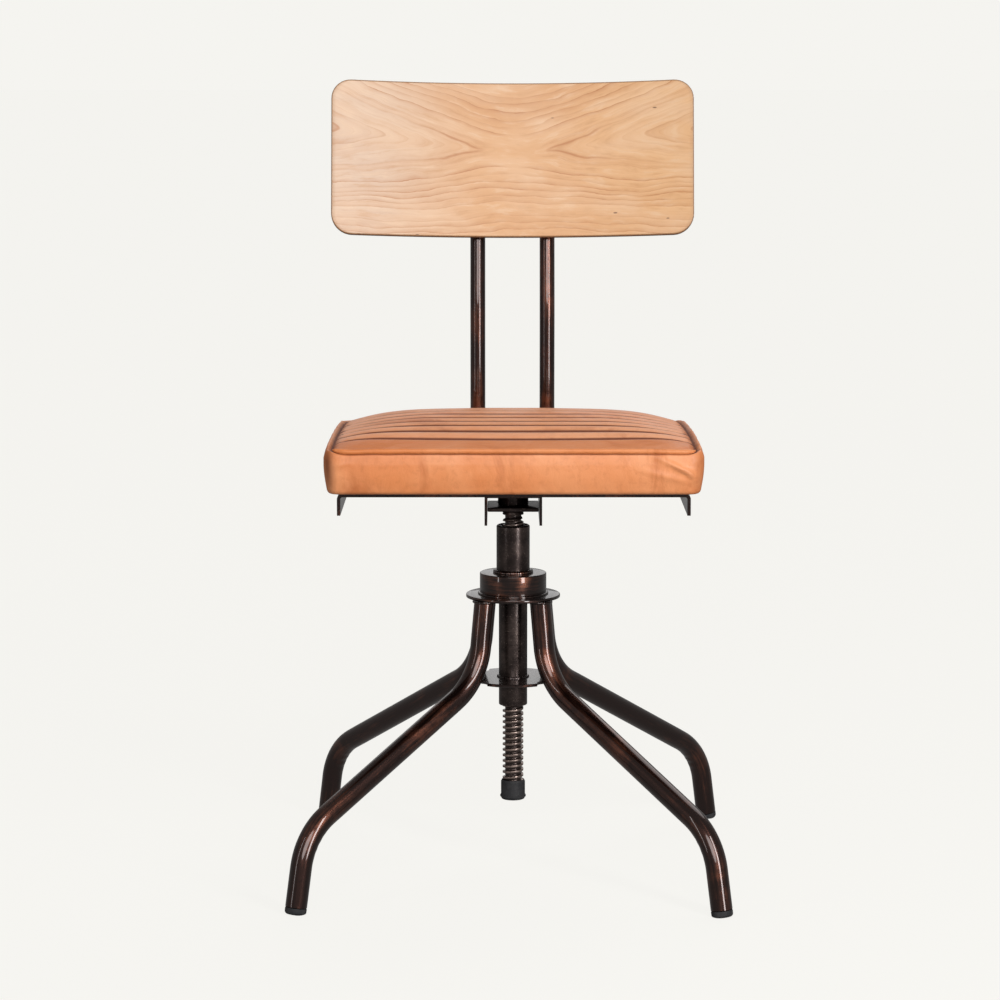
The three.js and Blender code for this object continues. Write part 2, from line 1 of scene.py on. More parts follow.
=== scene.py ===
import json
import math
from math import cos, pi, radians, sin
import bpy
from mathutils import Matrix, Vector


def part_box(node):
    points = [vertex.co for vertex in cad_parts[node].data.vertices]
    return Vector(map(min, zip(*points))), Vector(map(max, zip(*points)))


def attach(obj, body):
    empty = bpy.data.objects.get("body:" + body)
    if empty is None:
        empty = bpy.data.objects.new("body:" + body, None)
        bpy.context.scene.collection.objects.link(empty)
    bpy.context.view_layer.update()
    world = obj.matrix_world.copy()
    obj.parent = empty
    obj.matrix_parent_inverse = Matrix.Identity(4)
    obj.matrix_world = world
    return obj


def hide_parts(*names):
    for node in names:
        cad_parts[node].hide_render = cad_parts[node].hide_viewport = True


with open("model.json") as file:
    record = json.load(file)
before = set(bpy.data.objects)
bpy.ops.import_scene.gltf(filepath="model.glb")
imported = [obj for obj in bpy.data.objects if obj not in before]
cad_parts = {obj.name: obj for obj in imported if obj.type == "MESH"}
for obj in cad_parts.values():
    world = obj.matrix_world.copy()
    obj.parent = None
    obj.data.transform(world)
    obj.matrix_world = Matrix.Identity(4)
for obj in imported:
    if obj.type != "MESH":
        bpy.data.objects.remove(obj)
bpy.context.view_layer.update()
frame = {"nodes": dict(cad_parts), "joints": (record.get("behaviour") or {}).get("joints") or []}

from types import SimpleNamespace

import bmesh
import bpy
import numpy as np
from mathutils import Vector, kdtree, noise

# The looks of the swivel chair, in metres, in the CAD frame: Z is up and the chair faces -Y.
# Each shown surface is a fine mesh that stands for its CAD node, except the sealed inner pieces.

# ------------------------------------------------------------------ camera

AXIS_Y = frame["joints"][0]["pos_m"][1]  # the swivel axis stands at x = 0
CAMERA_PLACE = (-0.0138, -3.4112, 0.8638)  # from the swivel axis, on the floor
CAMERA_PITCH = 0.138  # radians below the horizon
CAMERA_LENS = 118.08  # millimetres on a 36 mm sensor


def make_camera():
    data = bpy.data.cameras.new("camera")
    data.lens = CAMERA_LENS
    data.sensor_width = 36
    camera = bpy.data.objects.new("camera", data)
    camera.location = Vector(CAMERA_PLACE) + Vector((0, AXIS_Y, 0))
    camera.rotation_euler = (pi / 2 - CAMERA_PITCH, 0, 0)
    bpy.context.scene.collection.objects.link(camera)
    bpy.context.scene.camera = camera


make_camera()

# ------------------------------------------------------------------ places and sizes

GAP = 0.0003

LEG = SimpleNamespace(
    radius=0.011,
    top=(0.0405, 0.291),  # (distance from the axis, height) of the centreline
    knee=(0.05118, 0.204),
    ankle=(0.28882, 0.0787),
    end=(0.30159, 0.0063),
    knee_bend=0.070,
    ankle_bend=0.068,
    cut=0.2872,
)
LEG_TURNS = {"front_left": -136.4, "front_right": -46.4, "rear_right": 43.6, "rear_left": 133.6}

UPRIGHT = SimpleNamespace(
    radius=0.00825,
    x=0.03835,
    front=-0.028,
    run_height=0.40865,
    behind=0.212,
    bend_height=0.574,
    lower_bend=0.045,
    upper_bend=0.160,
)
BACK = SimpleNamespace(
    recline=radians(11),
    foot=0.20846,  # Y of the front face's lower edge, from the axis
    bottom=0.6536,
    height=0.171,
    half_width=0.1985,
    thickness=0.009,
    bend=0.660,
    corner=0.022,
    edge=0.0016,
    tube_end=0.147,
    screws=(0.034, 0.122),
)
TUBE_TO_FACE = UPRIGHT.radius + GAP + BACK.thickness + UPRIGHT.x ** 2 / (2 * BACK.bend)

THREAD = SimpleNamespace(pitch=0.006, crest=0.011, root=0.0084, bottom=0.082, top=0.375)

CUSHION = SimpleNamespace(
    bottom=0.421,
    seam=0.4648,
    crown=0.4772,
    half_width=0.189,
    half_depth=0.190,
    middle=-0.007 + AXIS_Y,
    front_corner=0.015,
    rear_corner=0.052,
    rear_drop=0.0120,  # how much lower the seam is at the back
    side_rise=0.0045,  # how much higher along the sides, behind the front corners
    corner_drop=0.0040,  # and how much lower again at the rear corners
    side_fall=(15.0, 2.8),  # powers of the dome's fall to the side seams, front and rear
    front_fall=5.0,  # and to the front and rear seams
    rear_fall=4.0,
    side_inset=0.0085,  # the top panel's seam lies this far inside the widest line
    front_inset=0.0035,
    turn_under=0.032,
)
CHANNEL = SimpleNamespace(
    first=0.050,  # from the cushion's front to the first seam
    pitch=0.033,
    count=10,
    depth=0.0040,
    fullness=0.55,  # a low power makes each channel flat-topped and its seam sharp
    worn=0.8,  # how much lighter the tops of the channels are painted, a painted sheen
    shade_behind=0.0044,  # how far the painted shade reaches behind and ahead of a seam
    shade_ahead=0.0017,
    shade_growth=0.9,  # and how much further it reaches at the back
)

BRACKET_SHEET = 0.0028
BRACKET_LIP = 0.0160  # how far the lip at its front hangs below the web


def low(node):
    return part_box(node)[0]


def high(node):
    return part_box(node)[1]


def radius_of(node):
    return (high(node).x - low(node).x) / 2


# ------------------------------------------------------------------ mesh tools


def full_turn(count, start=0.0):
    return np.linspace(start, start + 2 * pi, count, endpoint=False)


def unit(vectors):
    return vectors / np.linalg.norm(vectors, axis=-1, keepdims=True)


def run_lengths(line):
    """How far along a line each of its points lies."""
    return np.concatenate([[0], np.cumsum(np.linalg.norm(np.diff(line, axis=0), axis=1))])


def ring(radius, angles, height, centre=(0, AXIS_Y)):
    """Points round a vertical axis, as many as radius, angles and height have between them."""
    x, y = centre[0] + radius * np.cos(angles), centre[1] + radius * np.sin(angles)
    return np.stack(np.broadcast_arrays(x, y, height), -1)


def facing(direction, along="Z"):
    """The rotation, as an array, that points an axis along direction."""
    return np.array(Vector(direction).to_track_quat(along, "Y").to_matrix())


def tree_of(places):
    tree = kdtree.KDTree(len(places))
    for k, place in enumerate(places):
        tree.insert(place, k)
    tree.balance()
    return tree


def placed(name, data):
    """A new object in the scene."""
    thing = bpy.data.objects.new(name, data)
    bpy.context.scene.collection.objects.link(thing)
    return thing


def rounded(corners, closed=True, steps=5):
    """A plane outline from corners (x, y, radius), each rounded by an arc of that radius."""
    outline = []
    count = len(corners)
    for i, (x, y, radius) in enumerate(corners):
        corner = np.array([x, y], float)
        if radius == 0 or (not closed and i in (0, count - 1)):
            outline.append(corner)
            continue
        back = np.array(corners[i - 1][:2], float) - corner
        ahead = np.array(corners[(i + 1) % count][:2], float) - corner
        longest_cut = 0.48 * min(np.linalg.norm(back), np.linalg.norm(ahead))
        back, ahead = unit(back), unit(ahead)
        half = math.acos(np.clip(back @ ahead, -1, 1)) / 2
        cut = min(radius / math.tan(half), longest_cut)
        centre = corner + unit(back + ahead) * cut / cos(half)
        start, end = corner + back * cut - centre, corner + ahead * cut - centre
        sweep = pi - 2 * half
        for t in np.linspace(0, 1, steps + 1):
            outline.append(centre + (sin((1 - t) * sweep) * start + sin(t * sweep) * end) / sin(sweep))
    return np.array(outline)


def grid_faces(rows, columns, wrap_rows=False, wrap_columns=False):
    """Quads between the points of a grid, numbered row by row."""
    faces = []
    for i in range(rows if wrap_rows else rows - 1):
        for j in range(columns if wrap_columns else columns - 1):
            here, below = i * columns, (i + 1) % rows * columns
            after = (j + 1) % columns
            faces.append((here + j, here + after, below + after, below + j))
    return faces


def band_faces(rings):
    """Quads between closed rings of point numbers."""
    return [(first[k], first[(k + 1) % len(first)], second[(k + 1) % len(first)], second[k])
            for first, second in zip(rings, rings[1:]) for k in range(len(first))]


class Shell:
    """Points and faces gathered into one mesh, each point with its place along the brush lines."""

    def __init__(self):
        self.points, self.flow, self.faces = [], [], []

    def add(self, points, faces, flow=None):
        start = sum(len(p) for p in self.points)
        points = np.asarray(points, float).reshape(-1, 3)
        self.points.append(points)
        self.flow.append(points if flow is None else np.asarray(flow, float).reshape(-1, 3))
        self.faces += [tuple(start + k for k in face) for face in faces]

    def join(self, other):
        self.add(np.vstack(other.points), other.faces, np.vstack(other.flow))

    def add_grid(self, grid, wrap_rows=False, wrap_columns=False, flow=None, fans=()):
        """A grid of points. fans are the rows, 0 or -1, that a fan of triangles closes."""
        rows, columns = grid.shape[:2]
        faces = grid_faces(rows, columns, wrap_rows, wrap_columns)
        points = grid.reshape(-1, 3)
        flow = points if flow is None else np.asarray(flow).reshape(-1, 3)
        for row in fans:
            first = (rows - 1) * columns if row == -1 else 0
            rim = list(range(first, first + columns))
            centre = len(points)
            points = np.vstack([points, points[rim].mean(0)])
            flow = np.vstack([flow, flow[rim].mean(0)])
            for j in range(columns):
                pair = (rim[j], rim[(j + 1) % columns])
                faces.append((*(pair if row == -1 else pair[::-1]), centre))
        self.add(points, faces, flow)

    def build(self, name, sharp=40, attributes=None):
        """The object: merged where points meet, faces outward, smooth up to the sharp angle."""
        points, flow = np.vstack(self.points), np.vstack(self.flow)
        mesh = bpy.data.meshes.new(name)
        mesh.from_pydata(points.tolist(), [], self.faces)
        for key, values in {"flow": flow, **(attributes or {})}.items():
            store(mesh, key, values)
        tidy(mesh)
        mesh.shade_smooth()
        mesh.set_sharp_from_angle(angle=radians(sharp))
        return placed(name, mesh)


def store(mesh, name, values):
    values = np.asarray(values, np.float32)
    kind, field = ("FLOAT", "value") if values.ndim == 1 else ("FLOAT_VECTOR", "vector")
    attribute = mesh.attributes.new(name, kind, "POINT")
    attribute.data.foreach_set(field, values.ravel())


def tidy(mesh):
    """Merges points that meet, drops faces without area and turns all faces outward."""
    meet = 1e-6
    work = bmesh.new()
    work.from_mesh(mesh)
    bmesh.ops.remove_doubles(work, verts=work.verts, dist=meet)
    bmesh.ops.dissolve_degenerate(work, edges=work.edges, dist=meet)
    bmesh.ops.recalc_face_normals(work, faces=work.faces)
    work.to_mesh(mesh)
    work.free()


BRUSHED = 0.06  # how far the brush lines are drawn out


def turned(profile, around=96, centre=(0, AXIS_Y)):
    """A Shell turned about a vertical axis from a profile of (radius, height) points."""
    radius, height = np.asarray(profile, float).T[..., None]
    closed = np.allclose(profile[0], profile[-1])
    last = -1 if closed else None
    flow = ring(BRUSHED * radius, full_turn(around), height + radius, (0, 0))
    shell = Shell()
    shell.add_grid(ring(radius, full_turn(around), height, centre)[:last], wrap_rows=closed,
                   wrap_columns=True, flow=flow[:last], fans=() if closed else (0, -1))
    return shell


def bent_path(corners, bends):
    """Points and directions along straights joined by round bends."""
    spacing, bend_steps = 0.004, 26
    corners = [np.array(corner, float) for corner in corners]
    points, directions = [], []

    def straight(a, b):
        steps = max(2, round(np.linalg.norm(b - a) / spacing))
        points.extend(a + (b - a) * k / steps for k in range(steps))
        directions.extend([unit(b - a)] * steps)

    start = corners[0]
    for before, corner, after, bend in zip(corners, corners[1:], corners[2:], bends):
        inward, outward = unit(corner - before), unit(after - corner)
        angle = math.acos(inward @ outward)
        first = corner - inward * bend * math.tan(angle / 2)
        side = unit(outward - inward * (inward @ outward))
        straight(start, first)
        for k in range(bend_steps):
            turn = angle * k / bend_steps
            points.append(first + bend * (inward * sin(turn) + side * (1 - cos(turn))))
            directions.append(inward * cos(turn) + side * sin(turn))
        start = corner + outward * bend * math.tan(angle / 2)
    straight(start, corners[-1])
    points.append(corners[-1])
    directions.append(directions[-1])
    return np.array(points), np.array(directions)


def oval(directions, angles, amount):
    """Factors on a tube's radius that make it a little oval where it bends."""
    turning = np.linalg.norm(np.gradient(directions, axis=0), axis=1)
    turning = np.convolve(turning / turning.max(), np.ones(5) / 5, "same")
    return 1 - amount * turning[:, None] * np.cos(2 * angles)


def tube(points, directions, side, radius, around, change):
    """A Shell swept along a plane path; change(lengths, angles) gives factors on the radius."""
    edge = 0.0007
    side = np.array(side, float)
    across = np.cross(side, directions)
    angles = full_turn(around)
    lengths = run_lengths(points)
    spokes = across[:, None] * np.cos(angles)[:, None] + side * np.sin(angles)[:, None]
    rings = points[:, None] + radius * change(lengths, angles)[..., None] * spokes
    flow = ring(radius, angles, BRUSHED * lengths[:, None], (0, 0))
    ends = [(points[k] + (radius - edge) * spokes[k])[None] for k in (0, -1)]
    rings[0] += edge * directions[0]
    rings[-1] -= edge * directions[-1]
    shell = Shell()
    shell.add_grid(np.concatenate([ends[0], rings, ends[1]]), wrap_columns=True,
                   flow=np.concatenate([flow[:1], flow, flow[-1:]]), fans=(0, -1))
    return shell


def bead(line, radius, seed, closed=True, lumps=0.16):
    """A weld bead: a round rope along the line, lumped like overlapped puddles."""
    puddle = 0.0032
    following = np.roll(line, -1, 0) - np.roll(line, 1, 0)
    if not closed:
        following[0], following[-1] = line[1] - line[0], line[-1] - line[-2]
    up = np.array([0, 0, 1.0])
    out = unit(np.cross(unit(following), up))
    lengths = run_lengths(line)
    turns = max(3, round(lengths[-1] / puddle))
    phase = 2 * pi * turns * lengths / (lengths[-1] * (1 + 1 / len(line)))
    angles = full_turn(14)
    rings = []
    for k, point in enumerate(line):
        ripple = lumps * abs(sin(phase[k] / 2)) + 0.5 * lumps * noise.noise(point * 300 + seed)
        size = radius * (0.9 + ripple)
        if not closed:
            size *= min(1, 0.25 + 6 * min(k, len(line) - 1 - k) / len(line))
        rings.append(point + size * (np.outer(np.cos(angles), out[k]) + np.outer(np.sin(angles), up)))
    shell = Shell()
    shell.add_grid(np.array(rings), wrap_rows=closed, wrap_columns=True, fans=() if closed else (0, -1))
    return shell


def round_bead(radius, height, size, seed, lumps=0.16):
    return bead(ring(radius, full_turn(160), height), size, seed, lumps=lumps)


# ------------------------------------------------------------------ materials


class Wire:
    """A node's output. Ordinary arithmetic on it makes Math nodes."""

    def __init__(self, look, socket):
        self.look, self.socket = look, socket

    def __add__(self, other):
        return self.look.math("ADD", self, other)

    def __radd__(self, other):
        return self.look.math("ADD", other, self)

    def __sub__(self, other):
        return self.look.math("SUBTRACT", self, other)

    def __mul__(self, other):
        return self.look.math("MULTIPLY", self, other)

    def __truediv__(self, other):
        return self.look.math("DIVIDE", self, other)

    def __abs__(self):
        return self.look.math("ABSOLUTE", self)


class Look:
    """A procedural material: a Principled shader, and short calls for the nodes that feed it."""

    def __init__(self, name, **constants):
        self.material = bpy.data.materials.new(name)
        self.material.use_nodes = True
        self.tree = self.material.node_tree
        self.tree.nodes.clear()
        self.shader = self.tree.nodes.new("ShaderNodeBsdfPrincipled")
        output = self.tree.nodes.new("ShaderNodeOutputMaterial")
        self.tree.links.new(self.shader.outputs[0], output.inputs[0])
        for socket, value in constants.items():
            self.put(self.shader.inputs[socket.replace("_", " ")], value)

    def finished(self, colour, roughness, normal=None):
        """The material, with what varies over its surface linked to its shader."""
        for socket, value in (("Base Color", colour), ("Roughness", roughness), ("Normal", normal)):
            if value is not None:
                self.put(self.shader.inputs[socket], value)
        return self.material

    def put(self, socket, value):
        if isinstance(value, Wire):
            self.tree.links.new(value.socket, socket)
        elif socket.type == "RGBA" and len(value) == 3:
            socket.default_value = (*value, 1)
        else:
            socket.default_value = value

    def node(self, kind, output, *values, settings=None, **inputs):
        """A new node's output. values go to its first inputs in order, and the rest go by name."""
        made = self.tree.nodes.new("ShaderNode" + kind)
        for key, value in (settings or {}).items():
            setattr(made, key, value)
        for socket, value in zip(made.inputs, values):
            self.put(socket, value)
        for key, value in inputs.items():
            self.put(made.inputs[key], value)
        return Wire(self, made.outputs[output])

    def place(self):
        return self.node("TexCoord", "Object")

    def stored(self, name, field="Vector"):
        return self.node("Attribute", field, settings={"attribute_name": name})

    def split(self, vector):
        return [Wire(self, socket) for socket in self.node("SeparateXYZ", "X", vector).socket.node.outputs]

    def joined(self, x, y):
        return self.node("CombineXYZ", 0, x, y)

    def vectors(self, operation, first, second):
        return self.node("VectorMath", 0, first, second, settings={"operation": operation})

    def sized(self, vector, x, y, z):
        return self.vectors("MULTIPLY", vector, (x, y, z))

    def math(self, operation, *values):
        return self.node("Math", 0, *values, settings={"operation": operation})

    def noise(self, vector, scale, detail, roughness=0.55, distortion=0.0):
        return self.node("TexNoise", "Fac", Vector=vector, Scale=scale, Detail=detail,
                         Roughness=roughness, Distortion=distortion)

    def cells(self, vector, scale):
        return self.node("TexVoronoi", "Distance", Vector=vector, Scale=scale)

    def between(self, value, low_end, high_end, to_low=0.0, to_high=1.0, smooth=True):
        """value's share of the way from low_end to high_end, clamped, as a number between the last two."""
        return self.node("MapRange", "Result", value, low_end, high_end, to_low, to_high,
                         settings={"interpolation_type": "SMOOTHSTEP" if smooth else "LINEAR"})

    def mix(self, share, first, second):
        mixed = self.node("Mix", 2, share, settings={"data_type": "RGBA"})
        for number, colour in ((6, first), (7, second)):
            self.put(mixed.socket.node.inputs[number], colour)
        return mixed

    def bump(self, height, distance, strength, **under):
        return self.node("Bump", "Normal", Height=height, Distance=distance, Strength=strength, **under)


def lacquered_look(name, copper_share, dark, copper):
    """Glossy dark lacquer over burnished steel, copper-red where the burnishing shows through."""
    look = Look(name, Metallic=0.96, Coat_Weight=0.9, Coat_Roughness=0.05, Coat_IOR=1.55)
    place, flow = look.place(), look.stored("flow")
    patches = look.noise(place, 15.0, 5.0, 0.62, 0.5)
    streaks = look.noise(flow, 420.0, 5.0, 0.62)
    share = look.between(patches * 0.66 + streaks * 0.34, 0.50 - copper_share, 0.68 - copper_share * 0.5)
    soot = look.between(look.noise(place, 150.0, 4.0, 0.7), 0.56, 0.74)
    colour = look.mix(soot * 0.5, look.mix(share, dark, copper), (0.010, 0.007, 0.007))
    height = streaks * 0.5 + look.noise(place, 260.0, 3.0)
    return look.finished(colour, look.between(streaks, 0.3, 0.75, 0.25, 0.43),
                         look.bump(height, 0.00010, 0.30))


def dark_steel_look():
    look = Look("dark_steel", Metallic=0.92, Coat_Weight=0.25, Coat_Roughness=0.18)
    place = look.place()
    turning = look.noise(look.stored("flow"), 900.0, 3.0, 0.6)
    grime = look.noise(place, 42.0, 5.0, 0.65)
    colour = look.mix(look.between(grime, 0.38, 0.68), (0.040, 0.028, 0.026), (0.108, 0.079, 0.070))
    specks = look.between(look.noise(place, 620.0, 2.0, 0.5), 0.64, 0.72)
    colour = look.mix(specks * 0.6, colour, (0.34, 0.26, 0.22))
    # What rubs, such as a thread's crest, is worn bright.
    bright = look.stored("worn", "Fac") * look.between(grime, 0.65, 0.40, 0.45, 1.0)
    colour = look.mix(bright, colour, (0.38, 0.29, 0.25))
    return look.finished(colour, look.between(turning, 0.25, 0.75, 0.26, 0.42),
                         look.bump(turning + grime, 0.00010, 0.5))


def one_pattern_look(name, pattern, share, first, second, rough, depth=None, relief=None, **constants):
    """One pattern drives colour and roughness, and the bump too unless relief is given."""
    look = Look(name, **constants)
    place = look.place()
    fine = pattern(look, place)
    colour = look.mix(look.between(fine, *share) if share else fine, first, second)
    normal = look.bump(relief(look, place) if relief else fine, *depth) if depth else None
    return look.finished(colour, look.between(fine, *rough), normal)


GRAIN = SimpleNamespace(
    middle=(0.003, 0.097),  # the point between the two peaked figures, on the panel
    peak=0.034,  # how far from it each figure's sharp peak lies
    bow=0.072,  # how roundly the rings above and below pass the middle
    slope_above=0.54,
    slope_below=0.40,
    pitch=0.0076,  # between rings, measured up the panel
)


def ring_line(look, phase, seed):
    """Rings of uneven strength: a soft dark band that ends in a crisp line, and a tone for each ring."""
    ring, number = look.math("FRACT", phase), look.math("FLOOR", phase)
    random = look.node("TexWhiteNoise", "Color", settings={"noise_dimensions": "2D"},
                       Vector=look.joined(number, seed))
    strength, tint, _ = look.split(random)
    band = look.math("POWER", ring, 2.2) * look.between(ring, 1.0, 0.93)
    crisp = look.between(ring, 0.86, 0.955) * look.between(ring, 1.0, 0.965)
    power = look.between(strength, 0.25, 1.0, 0.10, 1.0, smooth=False)
    return (band * 0.66 + crisp * 0.42) * power, tint


def figure(look, flat, across, up):
    """The veneer's rings: how dark their lines are, their tones, their level, and the height above."""
    drift = look.noise(look.sized(flat, 1.0, 1.8, 1.0), 8.0, 2.0, 0.5)
    ripple = look.noise(look.sized(flat, 1.0, 2.4, 1.0), 34.0, 3.0, 0.5)
    shift = (drift - 0.5) * 0.026 + (ripple - 0.5) * 0.0050
    rise = up - GRAIN.middle[1] + shift
    aside = across - GRAIN.middle[0]
    run = abs(aside)
    past = look.math("SQRT", aside * aside + GRAIN.bow ** 2) - math.hypot(GRAIN.peak, GRAIN.bow)
    beyond = look.math("MAXIMUM", past, 0.0)
    # Beyond its peak each figure opens; far out, and far below it, the rings run level.
    high_arm = past / (1.0 + beyond * 0.8)
    low_arm = past / (1.0 + beyond * 8.0) * look.between(rise, -0.075, -0.005, 0.15, 1.0)
    above = rise - high_arm * GRAIN.slope_above
    below = rise * -1.0 - low_arm * GRAIN.slope_below
    level = look.math("SMOOTH_MAX", above, below, look.between(past, 0.0, 0.09, 0.0012, 0.026, smooth=False))
    # Rings lie closer together outside the figures than inside them.
    phase = level / look.between(level, -0.012, 0.004, 1.7 * GRAIN.pitch, GRAIN.pitch) + 20.0
    line, tint = ring_line(look, phase, 3.0)
    fine, _ = ring_line(look, phase * 2.6, 7.0)
    # The ring that ends in the sharp peaks is the darkest.
    first = look.between(abs(level), 0.0024, 0.0, 0.0, 0.75) * look.between(run, 0.030, 0.036)
    line = look.math("MAXIMUM", line + fine * 0.22, first * look.between(run, 0.13, 0.06, 0.35, 1.0))
    # Nearly no rings show between the peaks.
    calm = look.between(run + abs(rise) * 1.2, 0.022, 0.050)
    fade = look.noise(look.sized(flat, 1.0, 1.5, 1.0), 22.0, 3.0, 0.6)
    line = line * (0.12 + calm * 0.88) * look.between(fade, 0.30, 0.62, 0.45, 1.0)
    high = look.between(above, 0.012, 0.045) * look.between(run, 0.12, 0.03)
    return line, tint, level, high


def veneer_look():
    """Flat-sawn veneer: two peaked figures face each other, with level rings above and below them."""
    look = Look("back_plywood", Coat_Weight=0.22, Coat_Roughness=0.30, Specular_IOR_Level=0.4)
    board = look.stored("board")
    across, up, depth = look.split(board)
    flat = look.joined(across, up)
    line, tint, level, high = figure(look, flat, across, up)
    along = look.noise(look.joined(across * 0.22, level), 120.0, 4.0, 0.62)
    clouds = look.noise(look.sized(flat, 1.0, 2.5, 1.0), 9.0, 3.0, 0.5)
    rays = look.noise(look.sized(flat, 1.0, 26.0, 1.0), 90.0, 4.0, 0.65)
    flecks = look.cells(look.sized(flat, 1.0, 2.6, 1.0), 17.0)
    # The left of the panel is painted paler and pinker: a painted sheen from the light on the right-front.
    colour = look.mix(look.between(across, -0.17, -0.02), (0.715, 0.526, 0.392), (0.725, 0.406, 0.196))
    for share, tone in (
        (look.between(across, 0.02, 0.19), (0.795, 0.482, 0.250)),
        (high * 0.45, (0.650, 0.320, 0.130)),
        (tint * 0.30, (0.650, 0.335, 0.150)),
        (look.between(along, 0.50, 0.72, 0.0, 0.48), (0.560, 0.270, 0.105)),
        (look.between(along, 0.50, 0.30, 0.0, 0.40), (0.850, 0.620, 0.420)),
        (look.between(clouds, 0.40, 0.70, 0.0, 0.50), (0.830, 0.580, 0.385)),
        (line, (0.440, 0.150, 0.034)),
        (look.between(rays, 0.5, 0.8, 0.0, 0.24), (0.56, 0.33, 0.17)),
        (look.between(flecks, 0.050, 0.030, 0.0, 0.8), (0.16, 0.070, 0.035)),
    ):
        colour = look.mix(share, colour, tone)
    # The edge shows the plies, turn and turn about, and their glue.
    ply = look.math("MODULO", depth * (7.0 / BACK.thickness), 2.0)
    plies = look.mix(look.between(abs(ply - 1.0), 0.42, 0.58), (0.230, 0.090, 0.040), (0.400, 0.215, 0.105))
    end_grain = look.noise(look.sized(board, 1.0, 1.0, 0.2), 900.0, 3.0, 0.6)
    plies = look.mix(look.between(end_grain, 0.4, 0.75, 0.0, 0.6), plies, (0.13, 0.065, 0.035))
    return look.finished(look.mix(look.stored("edge", "Fac"), colour, plies),
                         look.between(rays, 0.3, 0.8, 0.40, 0.56),
                         look.bump(line * -0.7 + rays * 0.5, 0.00010, 0.35))


def leather_look():
    """Waxed tan leather: mottled, deeper on the plain band, with painted shade and some dirt in its creases
    and seams, a painted sheen on its channel tops, and a pebbled grain.
    """
    look = Look("leather", Specular_IOR_Level=0.34, Coat_Weight=0.11, Coat_Roughness=0.26)
    place, crease = look.place(), look.stored("crease", "Fac")
    hang = look.noise(look.sized(place, 1.0, 1.0, 0.30), 17.0, 5.0, 0.62, 0.8)
    cloud = look.noise(place, 7.0, 4.0, 0.6, 0.3)
    fine = look.noise(place, 120.0, 5.0, 0.65, 0.4)
    colour = look.mix(look.between(cloud, 0.35, 0.65), (0.768, 0.262, 0.092), (0.868, 0.360, 0.160))
    for share, tone in (
        (look.between(hang, 0.50, 0.68, 0.0, 0.80), (0.540, 0.155, 0.046)),
        (look.between(fine, 0.45, 0.75, 0.0, 0.28), (0.500, 0.150, 0.050)),
        (look.stored("band", "Fac") * 0.72, (0.650, 0.172, 0.024)),
        # Painted sheen: the tops of the channels are lighter.
        (look.between(crease, 0.0, -0.8, 0.0, 0.60), (0.850, 0.400, 0.225)),
        # Painted shade, with some dirt, darkens the creases and seams.
        (look.between(crease, 0.02, 0.62, smooth=False), (0.150, 0.038, 0.014)),
    ):
        colour = look.mix(share, colour, tone)
    rough = look.between(hang, 0.3, 0.7, 0.36, 0.50) + look.between(crease, 0.0, 0.7, 0.0, 0.45)
    warp = look.node("TexNoise", "Color", Vector=place, Scale=300.0)
    pebbles = look.cells(look.vectors("ADD", place, look.sized(warp, 0.0012, 0.0012, 0.0012)), 900.0)
    folds = look.noise(look.sized(place, 1.0, 1.0, 0.55), 60.0, 5.0, 0.6, 0.7)
    return look.finished(colour, rough,
                         look.bump(pebbles, 0.00022, 0.35, Normal=look.bump(folds, 0.0022, 0.45)))


LOOKS = {
    "lacquered_tube": lacquered_look("lacquered_tube", 0.03, (0.040, 0.017, 0.013), (0.190, 0.066, 0.038)),
    "lacquered_steel": lacquered_look("lacquered_steel", 0.0, (0.036, 0.020, 0.017), (0.21, 0.080, 0.048)),
    "dark_steel": dark_steel_look(),
    "rubber": one_pattern_look(
        "rubber", lambda look, place: look.noise(place, 90.0, 5.0, 0.7),
        (0.35, 0.75), (0.016, 0.016, 0.018), (0.045, 0.043, 0.044), (0.3, 0.8, 0.62, 0.86),
        (0.0001, 0.5), lambda look, place: look.noise(place, 1500.0, 3.0), Specular_IOR_Level=0.35),
    "screw_steel": one_pattern_look(
        "screw_steel", lambda look, place: look.noise(place, 350.0, 4.0, 0.6),
        (0.45, 0.7), (0.30, 0.28, 0.26), (0.16, 0.13, 0.11), (0.3, 0.7, 0.28, 0.5),
        (0.00008, 0.4), Metallic=0.95),
    "bronze": one_pattern_look(
        "bronze", lambda look, place: look.noise(place, 120.0, 4.0, 0.6),
        (0.4, 0.7), (0.50, 0.34, 0.15), (0.22, 0.14, 0.07), (0.3, 0.7, 0.3, 0.5), Metallic=0.95),
    "felt": one_pattern_look(
        "felt", lambda look, place: look.noise(look.sized(place, 1.0, 1.0, 3.0), 1800.0, 3.0, 0.7),
        None, (0.020, 0.018, 0.016), (0.075, 0.067, 0.060), (0.3, 0.7, 0.85, 0.98),
        (0.0004, 0.8), Sheen_Weight=0.4),
    "foam": one_pattern_look(
        "foam", lambda look, place: look.cells(place, 900.0),
        (0.1, 0.6), (0.60, 0.52, 0.33), (0.86, 0.80, 0.60), (0.0, 0.8, 0.95, 0.85), (0.0005, 0.7)),
    "board_plywood": one_pattern_look(
        "board_plywood", lambda look, place: look.noise(look.sized(place, 1.0, 14.0, 14.0), 16.0, 6.0, 0.6),
        (0.35, 0.7), (0.66, 0.48, 0.29), (0.48, 0.31, 0.16), (0.3, 0.7, 0.6, 0.75), (0.0002, 0.5)),
    "back_plywood": veneer_look(),
    "leather": leather_look(),
}


def fit(thing, slot, body, *nodes):
    """Gives a piece its material slot and body, and lets it stand for its CAD nodes."""
    thing.data.materials.clear()
    thing.data.materials.append(LOOKS[slot])
    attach(thing, body)
    if nodes:
        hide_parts(*nodes)
    return thing


# ------------------------------------------------------------------ base


def radial(point, azimuth):
    """A point (distance from the axis, height) in the upright plane at that azimuth."""
    return (point[0] * cos(azimuth), point[0] * sin(azimuth) + AXIS_Y, point[1])


